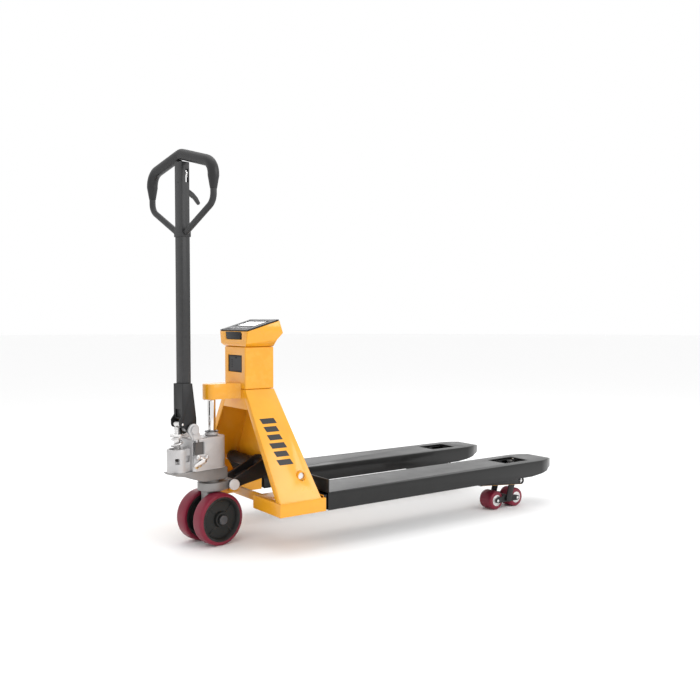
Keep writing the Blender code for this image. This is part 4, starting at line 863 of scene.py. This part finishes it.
def dressPlunger():
    roundedCopy("pump_plunger", "brightSteel", 0.0008, 2, 50)
    count = spring["turns"] * spring["steps"]
    points = []
    for i in range(count + 1):
        angle = 2 * math.pi * i / spring["steps"]
        share = i / count
        flat = min(1, max(0, (share - 0.06) / 0.88))  # closed end coils
        points.append((spring["x"] + spring["coil"] * math.cos(angle), spring["coil"] * math.sin(angle),
                       spring["low"] + (spring["high"] - spring["low"]) * (0.04 * share + 0.96 * flat)))
    coil = addTube(points, spring["wire"], 4)
    settle(coil, "plungerCoil", steerFrame, "steering_unit", "brightSteel", 60)
    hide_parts("plunger_spring")
    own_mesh(coil)
    cup = addTurned(spring["cup"], (spring["x"], 0, 0), 'Z', 64)
    settle(cup, "springCup", steerFrame, "plunger", "castSilver")


dressPlunger()
print("plunger dressed")

# ---- steering wheels
wheel = {
    "radius": 0.090, "tread": 0.013, "half": 0.0245, "offset": 0.0485, "trail": -0.010,
    "ribs": 4, "ribStart": 0.024, "ribHalf": 0.0028, "ribDepth": (0.0145, 0.0090),  # below the wheel's side
}


def dressWheels():
    radius = wheel["radius"]
    inner = radius - wheel["tread"]
    half = wheel["half"]
    for hand, side in (("right", -1), ("left", 1)):
        centre = (wheel["trail"], side * wheel["offset"], radius)
        body = f"steer_wheel_{hand}"
        tread = addTurned(bothEnds([(inner, half - 0.001), (inner + 0.002, half), (radius - 0.0065, half),
                                    (radius - 0.003, half - 0.0016), (radius - 0.0008, half - 0.0055),
                                    (radius, half - 0.011)]), centre, 'Y', 144)
        settle(tread, f"steerTread{hand.title()}", steerFrame, body, "redTread")
        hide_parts(f"steer_tyre_{hand}")
        rim = inner - 0.0003
        core = addTurned(bothEnds([(0.0104, half), (0.0165, half), (0.0165, half - 0.003), (0.0205, half - 0.003),
                                   (0.0205, half - 0.0005), (0.0255, half - 0.0008), (0.028, half - 0.010),
                                   (rim - 0.012, half - 0.012), (rim - 0.0075, half - 0.0015),
                                   (rim - 0.006, half - 0.0005), (rim, half - 0.001)]), centre, 'Y', 144)
        pieces = [core]
        for face in (-1, 1):
            for k in range(wheel["ribs"]):
                angle = 2 * math.pi * (k + 0.5) / wheel["ribs"]
                depths = sorted(face * (half - depth) for depth in wheel["ribDepth"])
                rib = addBlock((wheel["ribStart"], depths[0], -wheel["ribHalf"]),
                               (rim - 0.008, depths[1], wheel["ribHalf"]), 0.0012, 2)
                rib.data.transform(Matrix.Translation(centre) @ Matrix.Rotation(angle, 4, 'Y') @ rib.matrix_basis)
                rib.matrix_basis = Matrix.Identity(4)
                pieces.append(rib)
        core = settle(joinPieces(pieces), f"steerCore{hand.title()}", steerFrame, body, "wheelIron")
        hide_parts(f"steer_core_{hand}")
    roundedCopy("wheel_axle", "darkSteel", 0.0006, 2, 50)


dressWheels()
print("wheels dressed")

# ---- drawbar, handle and lever
handle = {
    "x": -0.115, "half": 0.178, "top": 1.325, "grip": 0.0185, "stem": 0.0105, "gripLow": 1.192,
    "corner": 0.050, "fall": 15.3,  # degrees that the top slopes down from its middle
    "apex": ((0.018, 0.0049), (0.009, 0.0026), (0.003, 0.0015)),  # y, and how far below the top
    "armBend": 0.044, "armDrop": 0.014, "armTurn": 62, "armFoot": (0.0245, 1.065),
    "collar": ((-0.1312, -0.0232, 1.050), (-0.0948, 0.0232, 1.080)),
    "gusset": ((-0.0968, -0.004, 1.052), (-0.0945, 0.004, 1.112)),
}
leverSpring = {"x": -0.1085, "y": -0.0195, "z": 1.248, "coil": 0.0032, "wire": 0.0012, "rise": 0.0011, "points": 14}


def dressDrawbar():
    roundedCopy("drawbar_tube", "barPaint", 0.0008, 2, 50)
    roundedCopy("drawbar_foot", "blackPaint", 0.001, 2, 50)
    roundedCopy("handle_lever", "gripPlastic", 0.0012, 2, 50)
    roundedCopy("control_rod", "brightSteel", 0)
    roundedCopy("cam_roller", "brightSteel", 0.0006, 2, 50)
    addGrip()
    addHandleArms()
    addLeverSpring()
    hole = addRod((-0.1291, 0, 1.230), (-0.1285, 0, 1.230), 0.003, 0, 24)
    settle(hole, "cableHole", steerFrame, "drawbar", "borderPlastic")


def addGrip():
    half = handle["half"]
    corner = handle["corner"]
    fall = math.radians(handle["fall"])
    endY = half - corner + corner * math.sin(fall)
    sideTop = handle["top"] - endY * math.tan(fall) - corner * math.cos(fall)
    right = [(half, handle["gripLow"] + 0.0003 + k * 0.010) for k in range(5)]
    right += arc((half - corner, sideTop), corner, 0, 90 - math.degrees(fall), 20)
    right += [(y, handle["top"] - drop) for y, drop in handle["apex"]]
    line = right + [(-y, z) for y, z in reversed(right)]
    sizes = [min(1, 0.62 + 0.38 * min(i, len(line) - 1 - i) / 4) for i in range(len(line))]  # narrow ends
    grip = addTube([(handle["x"], y, z) for y, z in line], handle["grip"], 10, sizes)
    settle(grip, "handleGripMoulded", steerFrame, "drawbar", "gripPlastic", 50)
    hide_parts("handle_grip")


def addHandleArms():
    half = handle["half"]
    turn = handle["armBend"]
    pieces = []
    for side in (-1, 1):
        bend = arc((half - turn, handle["gripLow"] - handle["armDrop"]), turn, 0, -handle["armTurn"], 16)
        run = [(half, handle["gripLow"] - 0.0003)] + bend + [handle["armFoot"]]
        pieces.append(addTube([(handle["x"], side * y, z) for y, z in run], handle["stem"]))
    collar = addBlock(*handle["collar"], 0.001)
    arms = settle(joinPieces(pieces + [collar]), "handleArms", steerFrame, "drawbar", "barPaint", 40)
    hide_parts("handle_frame")
    gusset = addBlock(*handle["gusset"], 0.001, 2)
    settle(gusset, "handleGusset", steerFrame, "drawbar", "barPaint")


def addLeverSpring():
    radius = leverSpring["coil"]
    coilPoints = []
    for i in range(leverSpring["points"]):
        angle = i * 0.5
        coilPoints.append((leverSpring["x"] + radius * math.cos(angle), leverSpring["y"],
                           leverSpring["z"] + leverSpring["rise"] * i + radius * math.sin(angle)))
    link = addTube(coilPoints, leverSpring["wire"], 3)
    pin = addRod((-0.108, -0.0212, 1.262), (-0.108, -0.012, 1.262), 0.0032, 0.0006, 24)
    settle(joinPieces([link, pin]), "leverSpring", steerFrame, "drawbar", "brightSteel", 50)


dressDrawbar()
print("drawbar dressed")
